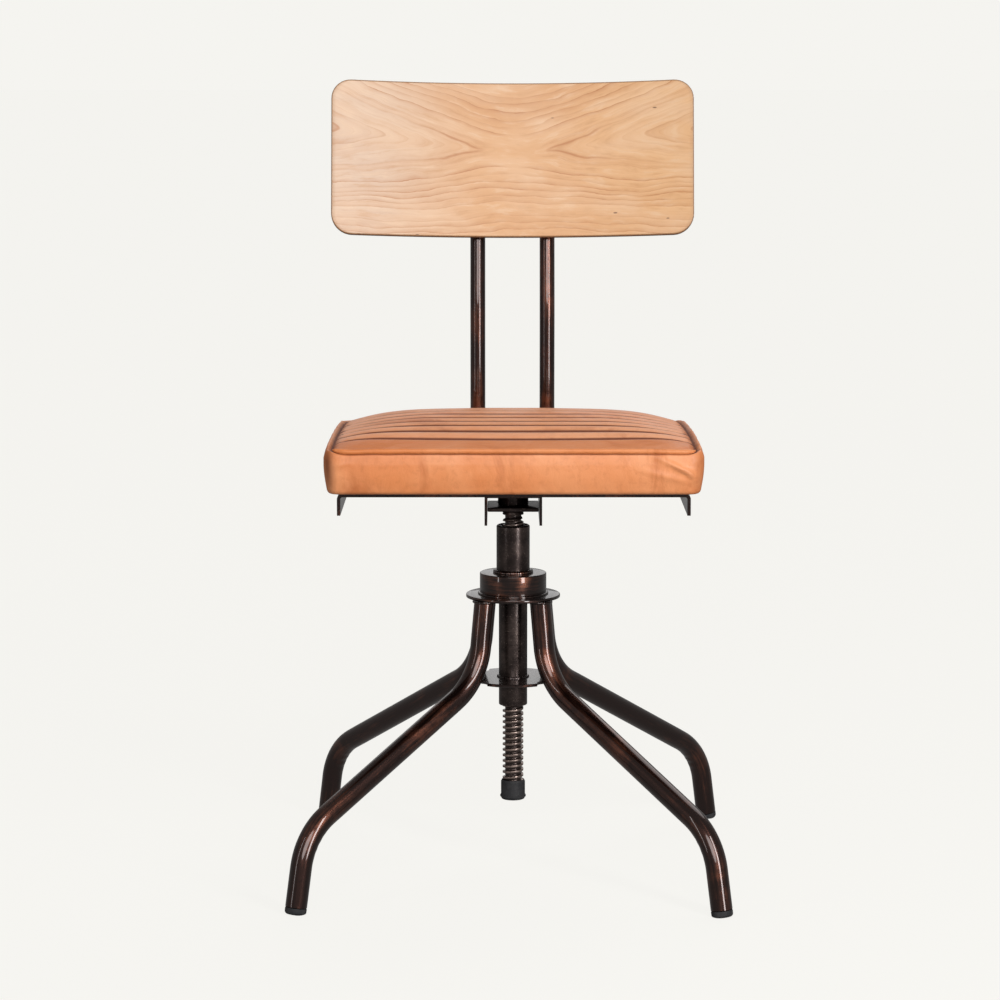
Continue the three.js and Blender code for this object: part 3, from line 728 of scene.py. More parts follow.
def make_leg(name, azimuth):
    """One leg's tube. Its bends are a little oval, and the inside of its ankle keeps a few shallow crimps."""
    corners = [radial(point, azimuth) for point in (LEG.top, LEG.knee, LEG.ankle, LEG.end)]
    points, directions = bent_path(corners, (LEG.knee_bend, LEG.ankle_bend))
    side = (-sin(azimuth), cos(azimuth), 0)
    crimp_height, crimp_depth, crimp_reach, crimp_pitch = 0.072, 0.030, 0.016, 0.011

    def change(lengths, angles):
        ankle = lengths - lengths[np.argmin(np.abs(points[:, 2] - crimp_height))]
        inside = np.clip(np.cos(angles), 0, 1) ** 3
        crimp = crimp_depth * np.exp(-(ankle / crimp_reach) ** 2) * np.cos(ankle * 2 * pi / crimp_pitch)
        return oval(directions, angles, 0.020) - crimp[:, None] * inside

    shell = tube(points, directions, side, LEG.radius, 44, change)
    skin = shell.points[0]
    # The upper end is cut level under the disc.
    high_points = skin[:, 2] > LEG.cut - 0.004
    skin[high_points] += np.outer((LEG.cut - skin[high_points, 2]) / directions[0][2], directions[0])
    fit(shell.build(f"leg_tube_{name}"), "lacquered_tube", "base", f"leg_{name}")
    return points, directions


def make_foot_cap(name, points, directions):
    """A domed plastic cap on the tube's end, worn flat where it stands."""
    radius, plug_radius, plug_length = LEG.radius, 0.0096, 0.012
    profile = rounded([(0, plug_length, 0), (plug_radius, plug_length, 0.0006), (plug_radius, -GAP, 0),
                       (radius, -GAP, 0.0006), (radius * 0.995, -0.0066, 0.0030), (0, -0.0082, 0)],
                      closed=False, steps=6)
    shell = turned(profile, 56, (0, 0))
    cap = shell.points[0] @ facing(directions[-1], "-Z").T + points[-1]
    cap[:, 2] = np.maximum(cap[:, 2], 0)
    shell.points[0] = cap
    fit(shell.build(f"foot_pad_{name}", sharp=50), "rubber", "base", f"foot_cap_{name}")


def make_leg_weld(name, azimuth, points, directions):
    """A bead round the tube where it meets the upper disc."""
    out = np.array([cos(azimuth), sin(azimuth), 0])
    side = np.array([-sin(azimuth), cos(azimuth), 0])
    # The tube's outside crosses a level plane in an ellipse, longer along its lean.
    height, clear = low("upper_disc").z - 0.0006, 0.0004
    k = np.argmin(np.abs(points[:, 2] - height))
    fall = directions[k][2]
    middle = points[k] + directions[k] * (height - points[k][2]) / fall
    around = full_turn(90)
    long_half, short_half = LEG.radius / abs(fall) + clear, LEG.radius + clear
    line = middle + np.outer(long_half * np.cos(around), out) + np.outer(short_half * np.sin(around), side)
    fit(bead(line, 0.0014, azimuth).build(f"leg_weld_{name}"), "lacquered_steel", "base")


def make_legs():
    for name, turn in LEG_TURNS.items():
        azimuth = radians(turn)
        points, directions = make_leg(name, azimuth)
        make_foot_cap(name, points, directions)
        make_leg_weld(name, azimuth, points, directions)


def ring_profile(node, bore, edge=0.0006, steps=4):
    """A ring's section from its CAD box, with its edges broken."""
    outer, bottom, top = radius_of(node), low(node).z, high(node).z
    corners = [(bore, bottom, edge / 2), (outer, bottom, edge), (outer, top, edge), (bore, top, edge / 2)]
    outline = rounded(corners, steps=steps)
    return np.vstack([outline, outline[:1]])


def make_discs():
    bore = radius_of("column_tube") + GAP
    upper = turned(ring_profile("upper_disc", bore, 0.0009), around=160)
    fit(upper.build("upper_plate", sharp=60), "lacquered_steel", "base", "upper_disc")
    make_lower_disc(bore)


def make_lower_disc(bore):
    """The lower disc, scalloped round the four legs."""
    bottom, top, edge = low("lower_disc").z, high("lower_disc").z, 0.0006
    angles = full_turn(360)
    reach, radius = LEG.knee[0] + 0.0016, LEG.radius + GAP
    outer = np.full(len(angles), radius_of("lower_disc"))
    for turn in LEG_TURNS.values():
        away = np.angle(np.exp(1j * (angles - radians(turn))))
        inside = radius ** 2 - (reach * np.sin(away)) ** 2
        near = reach * np.cos(away) - np.sqrt(np.maximum(inside, 0))
        outer = np.where((inside > 0) & (np.cos(away) > 0), np.minimum(outer, near), outer)
    rows = ((bore, bottom), (bore + edge, bottom), (outer - edge, bottom), (outer, bottom + edge),
            (outer, top - edge), (outer - edge, top), (bore + edge, top), (bore, top))
    shell = Shell()
    shell.add_grid(np.array([ring(radius, angles, height) for radius, height in rows]),
                   wrap_rows=True, wrap_columns=True)
    fit(shell.build("lower_plate", sharp=30), "lacquered_steel", "base", "lower_disc")


def make_column():
    """Collar, column tube, sleeve, wiper ring and the beads that join them."""
    sleeve, column = radius_of("threaded_sleeve"), radius_of("column_tube")
    collar = ring_profile("collar", sleeve + GAP, 0.0010, 6)
    fit(turned(collar, 128).build("collar_ring", sharp=60), "lacquered_steel", "base", "collar")
    pipe = ring_profile("column_tube", 0.0118, 0.0010)
    fit(turned(pipe).build("column_pipe", sharp=60), "dark_steel", "base", "column_tube")
    bottom, top = low("threaded_sleeve").z, high("threaded_sleeve").z
    bore, edge = 0.0148, 0.0012
    profile = rounded([(bore, bottom, 0), (sleeve, bottom, 0.0004), (sleeve, top - edge, 0.0007),
                       (sleeve - edge, top, 0.0005), (bore + 0.0006, top, 0.0003), (bore, top - 2 * edge, 0)])
    profile = np.vstack([profile, profile[:1]])
    fit(turned(profile).build("sleeve_pipe", sharp=50), "dark_steel", "base", "threaded_sleeve")
    wiper = ring_profile("wiper_ring", 0.0117)
    fit(turned(wiper, 72).build("wiper_felt", sharp=70), "felt", "wiper", "wiper_ring")
    # Each bead's centre lies a little outside the corner that it fills.
    welds = {
        "sleeve_weld": round_bead(sleeve + 0.0009, high("collar").z + 0.0009, 0.0028, 2, 0.10),
        "collar_weld": round_bead(radius_of("collar") + 0.0005, high("upper_disc").z + 0.0006, 0.0016, 3),
        "column_weld": round_bead(column + 0.0006, low("upper_disc").z - 0.0005, 0.0014, 4),
    }
    welds["column_weld"].join(round_bead(column + 0.0006, high("lower_disc").z + 0.0004, 0.0014, 6))
    for name, weld in welds.items():
        fit(weld.build(name), "lacquered_steel", "base")


# ------------------------------------------------------------------ screw spindle


def thread_surface(bottom, top, around=60):
    """A threaded rod whose rows climb with the helix; the thread fades at both ends."""
    pitch, crest, root = THREAD.pitch, THREAD.crest, THREAD.root
    shape = rounded([(-0.5, root, 0.0), (-0.33, root, 0.06), (-0.17, crest, 0.05),
                     (0.17, crest, 0.05), (0.33, root, 0.06), (0.5, root, 0.0)], closed=False, steps=3)
    first, last = math.floor(bottom / pitch) - 2, math.ceil(top / pitch) + 1
    rows = np.array([(turn + x, r) for turn in range(first, last + 1) for x, r in shape[:-1]])
    share = np.arange(around + 1) / around
    height = (rows[:, :1] + share) * pitch
    fade = np.clip(np.minimum(height - bottom, top - height) / (1.2 * pitch), 0, 1)
    radius = root + (rows[:, 1:] - root) * fade * fade * (3 - 2 * fade)
    return ring(radius, 2 * pi * share, np.clip(height, bottom, top))


def make_spindle():
    bottom, top, around = THREAD.bottom, THREAD.top, 60
    root, crest = THREAD.root, THREAD.crest
    surface = thread_surface(bottom, top, around)
    shell = Shell()
    shell.add_grid(surface, flow=(surface - np.array([0, AXIS_Y, 0])) * np.array([BRUSHED, BRUSHED, 1.0]))
    # The plain stub in the end cap and the neck in the thrust plate close both ends.
    foot, head, neck = low("spindle").z, high("spindle").z, 0.0095
    for profile in (
        [(0, foot, 0), (root, foot, 0.0008), (root, bottom, 0)],
        [(root, top, 0), (0.0112, top, 0.0006), (0.0108, top + 0.0030, 0.0012),
         (neck, top + 0.0066, 0.0010), (neck, head, 0.0008), (0, head, 0)],
    ):
        shell.join(turned(rounded(profile, closed=False), around))
    points = np.vstack(shell.points)
    reach = np.hypot(points[:, 0], points[:, 1] - AXIS_Y)
    worn = np.clip((reach - root) / (crest - root), 0, 1) ** 2
    worn[points[:, 2] > top - 0.0005] = 0.25
    fit(shell.build("screw_spindle", sharp=48, attributes={"worn": worn}), "dark_steel", "seat", "spindle")


def make_end_cap():
    bottom, top = low("spindle_end_cap").z, high("spindle_end_cap").z
    flange = radius_of("spindle_end_cap")
    body, mouth = flange - 0.00085, THREAD.crest + GAP
    profile = rounded([
        (0, bottom, 0), (body - 0.0006, bottom, 0.0014), (body, bottom + 0.0024, 0.0003),
        (flange, bottom + 0.0024, 0.0005), (flange, bottom + 0.0044, 0.0005), (body, bottom + 0.0044, 0.0004),
        (body, top - 0.0020, 0.0012), (body - 0.0010, top, 0.0006), (mouth, top, 0.0004),
        (mouth, THREAD.bottom - GAP, 0), (0, THREAD.bottom - GAP, 0)], closed=False)
    fit(turned(profile, 80).build("end_stop", sharp=50), "rubber", "seat", "spindle_end_cap")


# ------------------------------------------------------------------ seat frame


def channel_shell(node, thickness, outer_bend):
    """An inverted U run along Y in the node's CAD box, with round bends."""
    lo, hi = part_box(node)

    def arch(half, top, bend):
        corners = [(half, lo.z, 0), (half, top, bend), (-half, top, bend), (-half, lo.z, 0)]
        return rounded(corners, closed=False, steps=8)

    outer = arch(hi.x, hi.z, outer_bend)
    inner = arch(hi.x - thickness, hi.z - thickness, max(outer_bend - thickness, 0.0006))
    outline = np.vstack([outer, inner[::-1]])
    count, stations = len(outline), np.linspace(lo.y, hi.y, 24)
    grid = np.array([[(x, y, z) for x, z in outline] for y in stations])
    faces = grid_faces(len(stations), count, wrap_columns=True)
    for start in (0, (len(stations) - 1) * count):
        faces += [(start + k, start + k + 1, start + count - 2 - k, start + count - 1 - k)
                  for k in range(len(outer) - 1)]
    shell = Shell()
    shell.add(grid, faces, grid * np.array([1, BRUSHED, 1]))
    return shell


def add_lip(shell, thickness):
    """The bracket's web, folded down at the front between the flanges."""
    lo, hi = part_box("seat_bracket")
    reach, top = hi.x - 0.8 * thickness, hi.z - 0.4 * thickness
    outline = [(-reach, top), (-reach, top - BRACKET_LIP), (reach, top - BRACKET_LIP), (reach, top)]
    grid = np.array([[(x, y, z) for x, z in outline] for y in (lo.y, lo.y + thickness)])
    faces = grid_faces(2, 4, wrap_columns=True) + [(0, 1, 2, 3), (7, 6, 5, 4)]
    shell.add(grid, faces, grid * np.array([1, BRUSHED, 1]))


def make_seat_frame():
    for node, name, thickness, bend in (("seat_bracket", "bracket_channel", BRACKET_SHEET, 0.0045),
                                        ("seat_pan", "pan_sheet", 0.0035, 0.0056)):
        shell = channel_shell(node, thickness, bend)
        if node == "seat_bracket":
            add_lip(shell, thickness)
        sheet = fit(shell.build(name, sharp=50), "lacquered_steel", "seat", node)
        bevel = sheet.modifiers.new("bevel", "BEVEL")
        bevel.width = 0.0004
        bevel.segments = 2
        bevel.limit_method = "ANGLE"
        bevel.angle_limit = radians(40)
        bevel.harden_normals = True
    make_thrust_plate()
    make_board_screws()
    make_bracket_weld()


def make_thrust_plate():
    """A thick square plate with broken corners, on the spindle's neck, and a washer above it."""
    lo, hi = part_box("thrust_plate")
    half_x, half_y, corner, edge, bore = hi.x, (hi.y - lo.y) / 2, 0.0015, 0.0005, 0.0098
    outline = rounded([(x * half_x, y * half_y, corner) for x, y in ((-1, -1), (1, -1), (1, 1), (-1, 1))],
                      steps=4)
    hole = ring(bore, full_turn(len(outline), -0.75 * pi), 0, (0, 0))[:, :2]
    inset = outline * (1 - edge / half_x)
    shapes = ((hole, lo.z), (inset, lo.z), (outline, lo.z + edge),
              (outline, hi.z - edge), (inset, hi.z), (hole, hi.z))
    rows = [np.column_stack([shape + (0, AXIS_Y), np.full(len(shape), height)]) for shape, height in shapes]
    shell = Shell()
    shell.add_grid(np.array(rows), wrap_rows=True, wrap_columns=True)
    fit(shell.build("thrust_block"), "dark_steel", "seat", "thrust_plate")
    # A thick washer fills the space up to the bracket's web, round the spindle's neck.
    foot, top = hi.z + GAP, high("seat_bracket").z - BRACKET_SHEET - GAP
    inner, outer, round_edge = 0.0099, 0.0160, 0.0008
    washer = rounded([(inner, foot, 0), (outer, foot, round_edge), (outer, top, round_edge), (inner, top, 0)])
    fit(turned(washer).build("neck_washer"), "dark_steel", "seat")


def make_bracket_weld():
    """Beads along the bracket's flanges where they meet the pan."""
    lo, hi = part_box("seat_bracket")
    length, bead_share = hi.y - lo.y, 0.16
    shell = Shell()
    for side in (-1, 1):
        for start in (0.06, 0.42, 0.78):
            y = np.linspace(lo.y + start * length, lo.y + (start + bead_share) * length, 40)
            line = np.stack([np.full(40, side * (hi.x - 0.0006)), y, np.full(40, hi.z - 0.0010)], -1)
            shell.join(bead(line, 0.0020, side + start, closed=False))
    fit(shell.build("bracket_weld"), "lacquered_steel", "seat")


def cross_head(radius, height):
    """A round screw head with a cross recess, standing on z = 0 with its face at z = height."""
    recess, crown = 0.45 * radius, height * 1.04
    profile = rounded([(radius, 0, 0), (radius, 0.35 * height, 0.0005), (0.72 * radius, height, 0.0010),
                       (recess, crown, 0)], closed=False, steps=4)
    profile = np.vstack([profile, [(recess * share, crown) for share in (0.8, 0.6, 0.4, 0.2)]])
    angles = full_turn(48)
    r, z = profile.T[..., None]
    arms = np.abs(np.sin(2 * angles)) * r
    depth = 0.5 * height * np.clip(1 - arms / (0.16 * radius), 0, 1) * (r < 0.5 * radius)
    return np.concatenate([ring(radius, angles, 0.0, (0, 0))[None], ring(r, angles, z - depth, (0, 0))])


def add_screw(node, name, place, direction, length):
    """A screw whose head's face looks along direction; its shank runs the other way into its hole."""
    turn, place, shank = facing(direction), np.array(place), 0.002
    rod = np.array([ring(shank * share, full_turn(16), -z, (0, 0))
                    for share, z in ((1, -0.0002), (1, length - 0.002), (0.1, length))])
    shell = Shell()
    for grid in (cross_head(0.0046, 0.0024), rod):
        shell.add_grid(grid @ turn.T + place, wrap_columns=True, fans=(0, -1))
    fit(shell.build(name, sharp=35), "screw_steel", "seat", node)


def make_board_screws():
    head = 0.0024
    for number in range(1, 5):
        node = f"board_screw_{number}"
        lo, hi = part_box(node)
        middle = (lo + hi) / 2
        place = (middle.x, middle.y, lo.z + head)
        add_screw(node, f"pan_screw_{number}", place, (0, 0, -1), hi.z - lo.z - head)


# ------------------------------------------------------------------ back

LEAN_UP = np.array([0, sin(BACK.recline), cos(BACK.recline)])
LEAN_BACK = np.array([0, cos(BACK.recline), -sin(BACK.recline)])
BACK_FOOT = np.array([0, BACK.foot + AXIS_Y, BACK.bottom])


def back_point(x, up, back):
    return BACK_FOOT + np.array([x, 0, 0]) + up * LEAN_UP + back * LEAN_BACK


def plug_shell(point, direction, radius, bore):
    """A domed plug in a tube's end."""
    depth, dome = 0.008, 0.0022
    profile = rounded([(0, -depth, 0), (bore, -depth, 0.0006), (bore, GAP, 0), (radius, GAP, 0.0003),
                       (radius - 0.0003, 0.0012, 0.0008), (0.4 * radius, dome - 0.0001, 0.002), (0, dome, 0)],
                      closed=False)
    shell = turned(profile, 48, (0, 0))
    shell.points[0] = shell.points[0] @ facing(direction).T + point
    return shell


def make_uprights():
    radius, wall = UPRIGHT.radius, 0.0018
    for side, sign in (("left", -1), ("right", 1)):
        x = sign * UPRIGHT.x
        corners = [
            (x, UPRIGHT.front + AXIS_Y, UPRIGHT.run_height),
            (x, UPRIGHT.behind + AXIS_Y, UPRIGHT.run_height),
            (x, UPRIGHT.behind + AXIS_Y, UPRIGHT.bend_height),
            back_point(x, BACK.tube_end, TUBE_TO_FACE),
        ]
        points, directions = bent_path(corners, (UPRIGHT.lower_bend, UPRIGHT.upper_bend))
        shell = tube(points, directions, (1, 0, 0), radius, 36,
                     lambda lengths, angles: oval(directions, angles, 0.018))
        fit(shell.build(f"upright_tube_{side}"), "lacquered_tube", "seat", f"upright_{side}")
        for end, k, outward in (("top", -1, directions[-1]), ("front", 0, -directions[0])):
            plug = plug_shell(points[k], outward, radius, radius - wall)
            fit(plug.build(f"tube_plug_{end}_{side}", sharp=50), "rubber", "seat",
                f"upright_plug_{end}_{side}")
        for number, up in enumerate(BACK.screws, 1):
            place = back_point(x, up, TUBE_TO_FACE + radius + GAP)
            add_screw(f"back_screw_{side}_{number}", f"back_bolt_{side}_{number}", place, LEAN_BACK,
                      2 * radius + 0.006)


def panel_grid(half_width, half_height, low_corner, high_corner, columns, rows, corner_rows):
    """Points (x, y) of a rounded rectangle in level rows, closer together where the corners turn."""
    turn = 1 - np.cos(np.linspace(0, pi / 2, corner_rows + 1))
    low_rows = -half_height + low_corner * turn
    high_rows = half_height - high_corner * turn[::-1]
    middle = np.linspace(low_rows[-1], high_rows[0], rows + 1)[1:-1]
    levels = np.concatenate([low_rows, middle, high_rows])
    loss = 0
    for corner, past in ((low_corner, low_corner - half_height - levels),
                         (high_corner, levels - (half_height - high_corner))):
        arc = corner - np.sqrt(np.maximum(corner ** 2 - past ** 2, 0))
        loss = loss + np.where(past > 0, arc, 0)
    x = (half_width - loss)[:, None] * np.linspace(-1, 1, columns + 1)
    return np.stack(np.broadcast_arrays(x, levels[:, None]), -1)


def rim_numbers(rows, columns):
    """The grid's border, once round, as point numbers."""
    numbers = np.arange(rows * columns).reshape(rows, columns)
    return np.concatenate([numbers[0, :-1], [columns - 1], numbers[1:, -1],
                           numbers[-1, -2::-1], numbers[-2:0:-1, 0]])


def rim_normals(points, half_width, half_height, low_corner, high_corner):
    """The outward direction at points on a rounded rectangle's border."""
    corner = np.where(points[:, 1] < 0, low_corner, high_corner)
    core = np.stack([np.clip(points[:, 0], corner - half_width, half_width - corner),
                     np.clip(points[:, 1], low_corner - half_height, half_height - high_corner)], -1)
    return unit(points - core)


def make_backrest():
    """The bent plywood panel: two faces and an edge with its arrises rounded."""
    half_height, edge, thickness, bend = BACK.height / 2, BACK.edge, BACK.thickness, BACK.bend
    plan = (BACK.half_width - edge, half_height - edge, BACK.corner - edge, BACK.corner - edge)
    flat = panel_grid(*plan, 110, 36, 9)
    rows, columns = flat.shape[:2]
    face = flat.reshape(-1, 2)
    rim = rim_numbers(rows, columns)
    normals = rim_normals(face[rim], *plan)
    section = [(edge * sin(t), edge * (1 - cos(t))) for t in np.linspace(0, pi / 2, 5)[1:]]
    plies = np.linspace(edge, thickness - edge, 5)[1:-1]
    section += [(edge, depth) for depth in plies] + [(out, thickness - depth) for out, depth in section[::-1]]
    board = [np.column_stack([face, np.zeros(len(face))])]
    board += [np.column_stack([face[rim] + out * normals, np.full(len(rim), depth)])
              for out, depth in section]
    board.append(np.column_stack([face, np.full(len(face), thickness)]))
    back_start = len(face) + len(section) * len(rim)
    faces = grid_faces(rows, columns)
    faces += [tuple(back_start + k for k in quad[::-1]) for quad in grid_faces(rows, columns)]
    edge_rings = [len(face) + k * len(rim) + np.arange(len(rim)) for k in range(len(section))]
    faces += band_faces([rim, *edge_rings, back_start + rim])
    board = np.vstack(board)
    x, up, depth = board[:, 0], board[:, 1] + half_height, board[:, 2]
    back = np.sqrt((bend + depth) ** 2 - x ** 2) - bend
    points = BACK_FOOT + np.outer(up, LEAN_UP) + np.outer(back, LEAN_BACK)
    points[:, 0] += x
    on_edge = np.zeros(len(board))
    on_edge[len(face):back_start] = 1.0
    on_edge[rim] = 0.3
    shell = Shell()
    shell.add(points, faces)
    thing = shell.build("backrest_board", sharp=35, attributes={
        "board": np.column_stack([x, up, depth]), "edge": on_edge})
    fit(thing, "back_plywood", "seat", "backrest_panel")


# ------------------------------------------------------------------ cushion

SEAM_HALF_WIDTH = CUSHION.half_width - CUSHION.side_inset
SEAM_HALF_DEPTH = CUSHION.half_depth - CUSHION.front_inset


def cushion_grid(columns, rows, corner_rows):
    """The top panel's plan, inside the seam, and the rim's outward directions."""
    c = CUSHION
    sizes = (SEAM_HALF_WIDTH, SEAM_HALF_DEPTH, c.front_corner - c.front_inset,
             c.rear_corner - c.front_inset)
    flat = panel_grid(*sizes, columns, rows, corner_rows)
    plan = flat.reshape(-1, 2)
    rim = rim_numbers(*flat.shape[:2])
    return plan, flat.shape[:2], rim, rim_normals(plan[rim], *sizes)


def crowned(x, y):
    """The height of the smooth top: nearly flat from front to back, domed from side to side."""
    c = CUSHION
    across, along = np.abs(x) / SEAM_HALF_WIDTH, np.abs(y) / SEAM_HALF_DEPTH
    rearward = np.clip((y / SEAM_HALF_DEPTH + 1) / 2, 0, 1)
    seam = c.seam - c.rear_drop * rearward ** 2
    seam = seam - c.corner_drop * across ** 4 * rearward ** 4
    seam = seam + c.side_rise * across ** 6 * (1 - np.exp(-(y + SEAM_HALF_DEPTH) / 0.035))
    steep = np.where(y < 0, c.front_fall, c.rear_fall)
    side_fall = c.side_fall[0] + (c.side_fall[1] - c.side_fall[0]) * rearward
    swell = np.clip(1 - across ** side_fall, 0, 1) * np.clip(1 - along ** steep, 0, 1)
    return seam + (c.crown - seam) * swell


def wall_rows(rim_points, normals, rows):
    """Rows of points down the boxing, round its lower edge and in under the board."""
    c = CUSHION
    side = normals[:, 0] ** 2
    inset = c.front_inset + (c.side_inset - c.front_inset) * side
    plan, top = rim_points[:, :2], rim_points[:, 2]
    lift, roll, draw, bulge = 0.0008, 0.0050, 0.0030, 0.0022
    bottom = c.bottom + lift
    wall_share, bulge_share = 0.78, 0.34
    found = []
    for t in np.arange(1, rows + 1) / rows:
        if t < wall_share:  # the leather swells out from the seam, then stands nearly plumb
            s = t / wall_share
            out = inset * np.clip(s / bulge_share, 0, 1) ** 0.5 - draw * np.clip((s - 0.5) / 0.5, 0, 1) ** 2
            swell = np.sin(np.clip(s / bulge_share, 0, 1) * pi) * bulge * side
            height = top + swell - (top - bottom - roll) * s ** (1 + 0.5 * side)
        else:
            s = (t - wall_share) / (1 - wall_share)
            turn = min(s / 0.5, 1) * pi / 2
            under = max(s - 0.5, 0) / 0.5
            out = inset - draw - roll * (1 - cos(turn)) - under * (c.turn_under - draw - roll)
            height = np.full(len(top), bottom + roll * (1 - sin(turn)) - lift * under)
        found.append(np.column_stack([plan + out[:, None] * normals, height]))
    return found


def cover_shell(columns, rows, corner_rows, wall):
    """The cover's smooth form: points with the middle at x = y = 0, faces, the top's count and its rim."""
    plan, shape, rim, normals = cushion_grid(columns, rows, corner_rows)
    top = np.column_stack([plan, crowned(plan[:, 0], plan[:, 1])])
    walls = wall_rows(top[rim], normals, wall)
    points = np.vstack([top, *walls, walls[-1].mean(0)])
    rings = [rim] + [len(plan) + k * len(rim) + np.arange(len(rim)) for k in range(wall)]
    centre, last = len(points) - 1, rings[-1]
    faces = grid_faces(*shape) + band_faces(rings)
    faces += [(last[k], last[(k + 1) % len(rim)], centre) for k in range(len(rim))]
    return points, faces, len(plan), rim


SWELL_LIMIT = 0.003  # how far the simulated cover may stand proud of its form
SWELL_STEPS = 20


def simulated_swell():
    """Inflates a remeshed copy of the cover, held at its seam and underside, as cloth: (places, moves)."""
    points, faces, _, rim = cover_shell(48, 40, 4, 12)
    mesh = bpy.data.meshes.new("swell")
    mesh.from_pydata(points.tolist(), [], faces)
    tidy(mesh)
    body = placed("swell", mesh)
    remesh = body.modifiers.new("remesh", "REMESH")
    remesh.mode = "VOXEL"
    remesh.voxel_size = 0.005
    graph = bpy.context.evaluated_depsgraph_get()
    dense = bpy.data.meshes.new_from_object(body.evaluated_get(graph))
    body.modifiers.remove(remesh)
    body.data = dense
    rest = np.array([v.co for v in dense.vertices])
    seam = tree_of(points[rim])
    held_reach, underside = 0.010, CUSHION.bottom + 0.006
    held = body.vertex_groups.new(name="held")
    for k, place in enumerate(rest):
        weight = 1.0 if place[2] < underside else max(1 - seam.find(place)[2] / held_reach, 0.0)
        if weight > 0:
            held.add([k], weight, "REPLACE")
    cloth = body.modifiers.new("cloth", "CLOTH")
    for key, value in {"quality": 6, "mass": 0.3, "tension_stiffness": 12, "compression_stiffness": 12,
                       "bending_stiffness": 1.5, "use_pressure": True, "uniform_pressure_force": 4,
                       "vertex_group_mass": "held"}.items():
        setattr(cloth.settings, key, value)
    cloth.settings.effector_weights.gravity = 0
    cloth.point_cache.frame_start, cloth.point_cache.frame_end = 1, SWELL_STEPS
    scene = bpy.context.scene
    for step in range(1, SWELL_STEPS + 1):
        scene.frame_set(step)
    graph = bpy.context.evaluated_depsgraph_get()
    swollen = body.evaluated_get(graph).to_mesh()
    moved = np.array([v.co for v in swollen.vertices]) - rest
    body.evaluated_get(graph).to_mesh_clear()
    scene.frame_set(1)
    bpy.data.objects.remove(body)
    lengths = np.linalg.norm(moved, axis=1)
    moved *= np.minimum(1, SWELL_LIMIT / np.maximum(lengths, 1e-9))[:, None]
    return rest, moved


def carried(points, places, moves):
    """Moves at points, drawn from the nearest simulated places."""
    tree, neighbours, softness = tree_of(places), 10, 4e-6
    found = np.zeros_like(points)
    for k, point in enumerate(points):
        near = tree.find_n(point, neighbours)
        weights = np.array([1 / (distance ** 2 + softness) for _, _, distance in near])
        found[k] = (weights[:, None] * moves[[i for _, i, _ in near]]).sum(0) / weights.sum()
    return found


def channel_lines():
    front = -CUSHION.half_depth
    return [front + CHANNEL.first + CHANNEL.pitch * k for k in range(CHANNEL.count)]


def channelled(points):
    """Height changes of the sewn channels across the top, with the painted shade in their creases and the
    painted sheen on their tops.
    """
    x, y = points[:, 0], points[:, 1]
    lines = channel_lines()
    wander = np.array([0.0007 * noise.noise((px * 9, py * 31, 4.0)) for px, py in zip(x, y)])
    offsets = (y + wander)[:, None] - np.array(lines)
    nearest = offsets[np.arange(len(y)), np.abs(offsets).argmin(1)]
    share = np.clip(np.abs(nearest) / (CHANNEL.pitch / 2), 0, 1)
    drop = -CHANNEL.depth * (1 - share ** CHANNEL.fullness)
    # Painted shade, with a little dark wax, lies on the slope behind each seam, and reaches further towards
    # the back.
    rearward = np.clip((y - lines[0]) / (lines[-1] - lines[0]), 0, 1)
    width = np.where(nearest > 0, CHANNEL.shade_behind, CHANNEL.shade_ahead)
    width = width * (1 + CHANNEL.shade_growth * rearward)
    # Below zero this is a painted sheen on the tops of the channels.
    crease = np.exp(-(np.abs(nearest) / width) ** 2.4) - CHANNEL.worn * share ** 2
    # The stretch in front of the first seam is plain.
    crease[y < lines[0] - CHANNEL.shade_ahead * 2] = 0
    drop = np.where(y < lines[0], -CHANNEL.depth * bell(y, lines[0], 0.006), drop)
    return drop, crease


def bell(distance, middle, width):
    return np.exp(-((distance - middle) / width) ** 2)


def dirt_and_shade_on(points, to_seam, side, on_top):
    """How dark the leather is painted beside its seams, with dirt and painted shade, and at its front
    corners, with painted shade.
    """
    c = CUSHION
    # Painted shade on the top beside the seam, and a painted shadow just below the seam on the boxing; on the
    # sides the seam is dark with dirt and painted shade.
    seam_shade = np.where(on_top, 0.16 * bell(to_seam, 0.0055, 0.0022), 0.95 * bell(to_seam, 0.0006, 0.0018))
    dirt_and_shade = np.maximum((1 - side) * seam_shade, 1.1 * side * bell(to_seam, 0, 0.0025))
    # Each front corner of the boxing gets painted shade where it turns away from the light, much more on the
    # left.
    to_corner = np.hypot(np.abs(points[:, 0]) - c.half_width, points[:, 1] + c.half_depth)
    corner_shade = np.where(points[:, 0] < 0, 1.1, 0.30) * bell(to_corner, 0, 0.0075)
    return np.maximum(dirt_and_shade, np.where(on_top, 0, corner_shade))


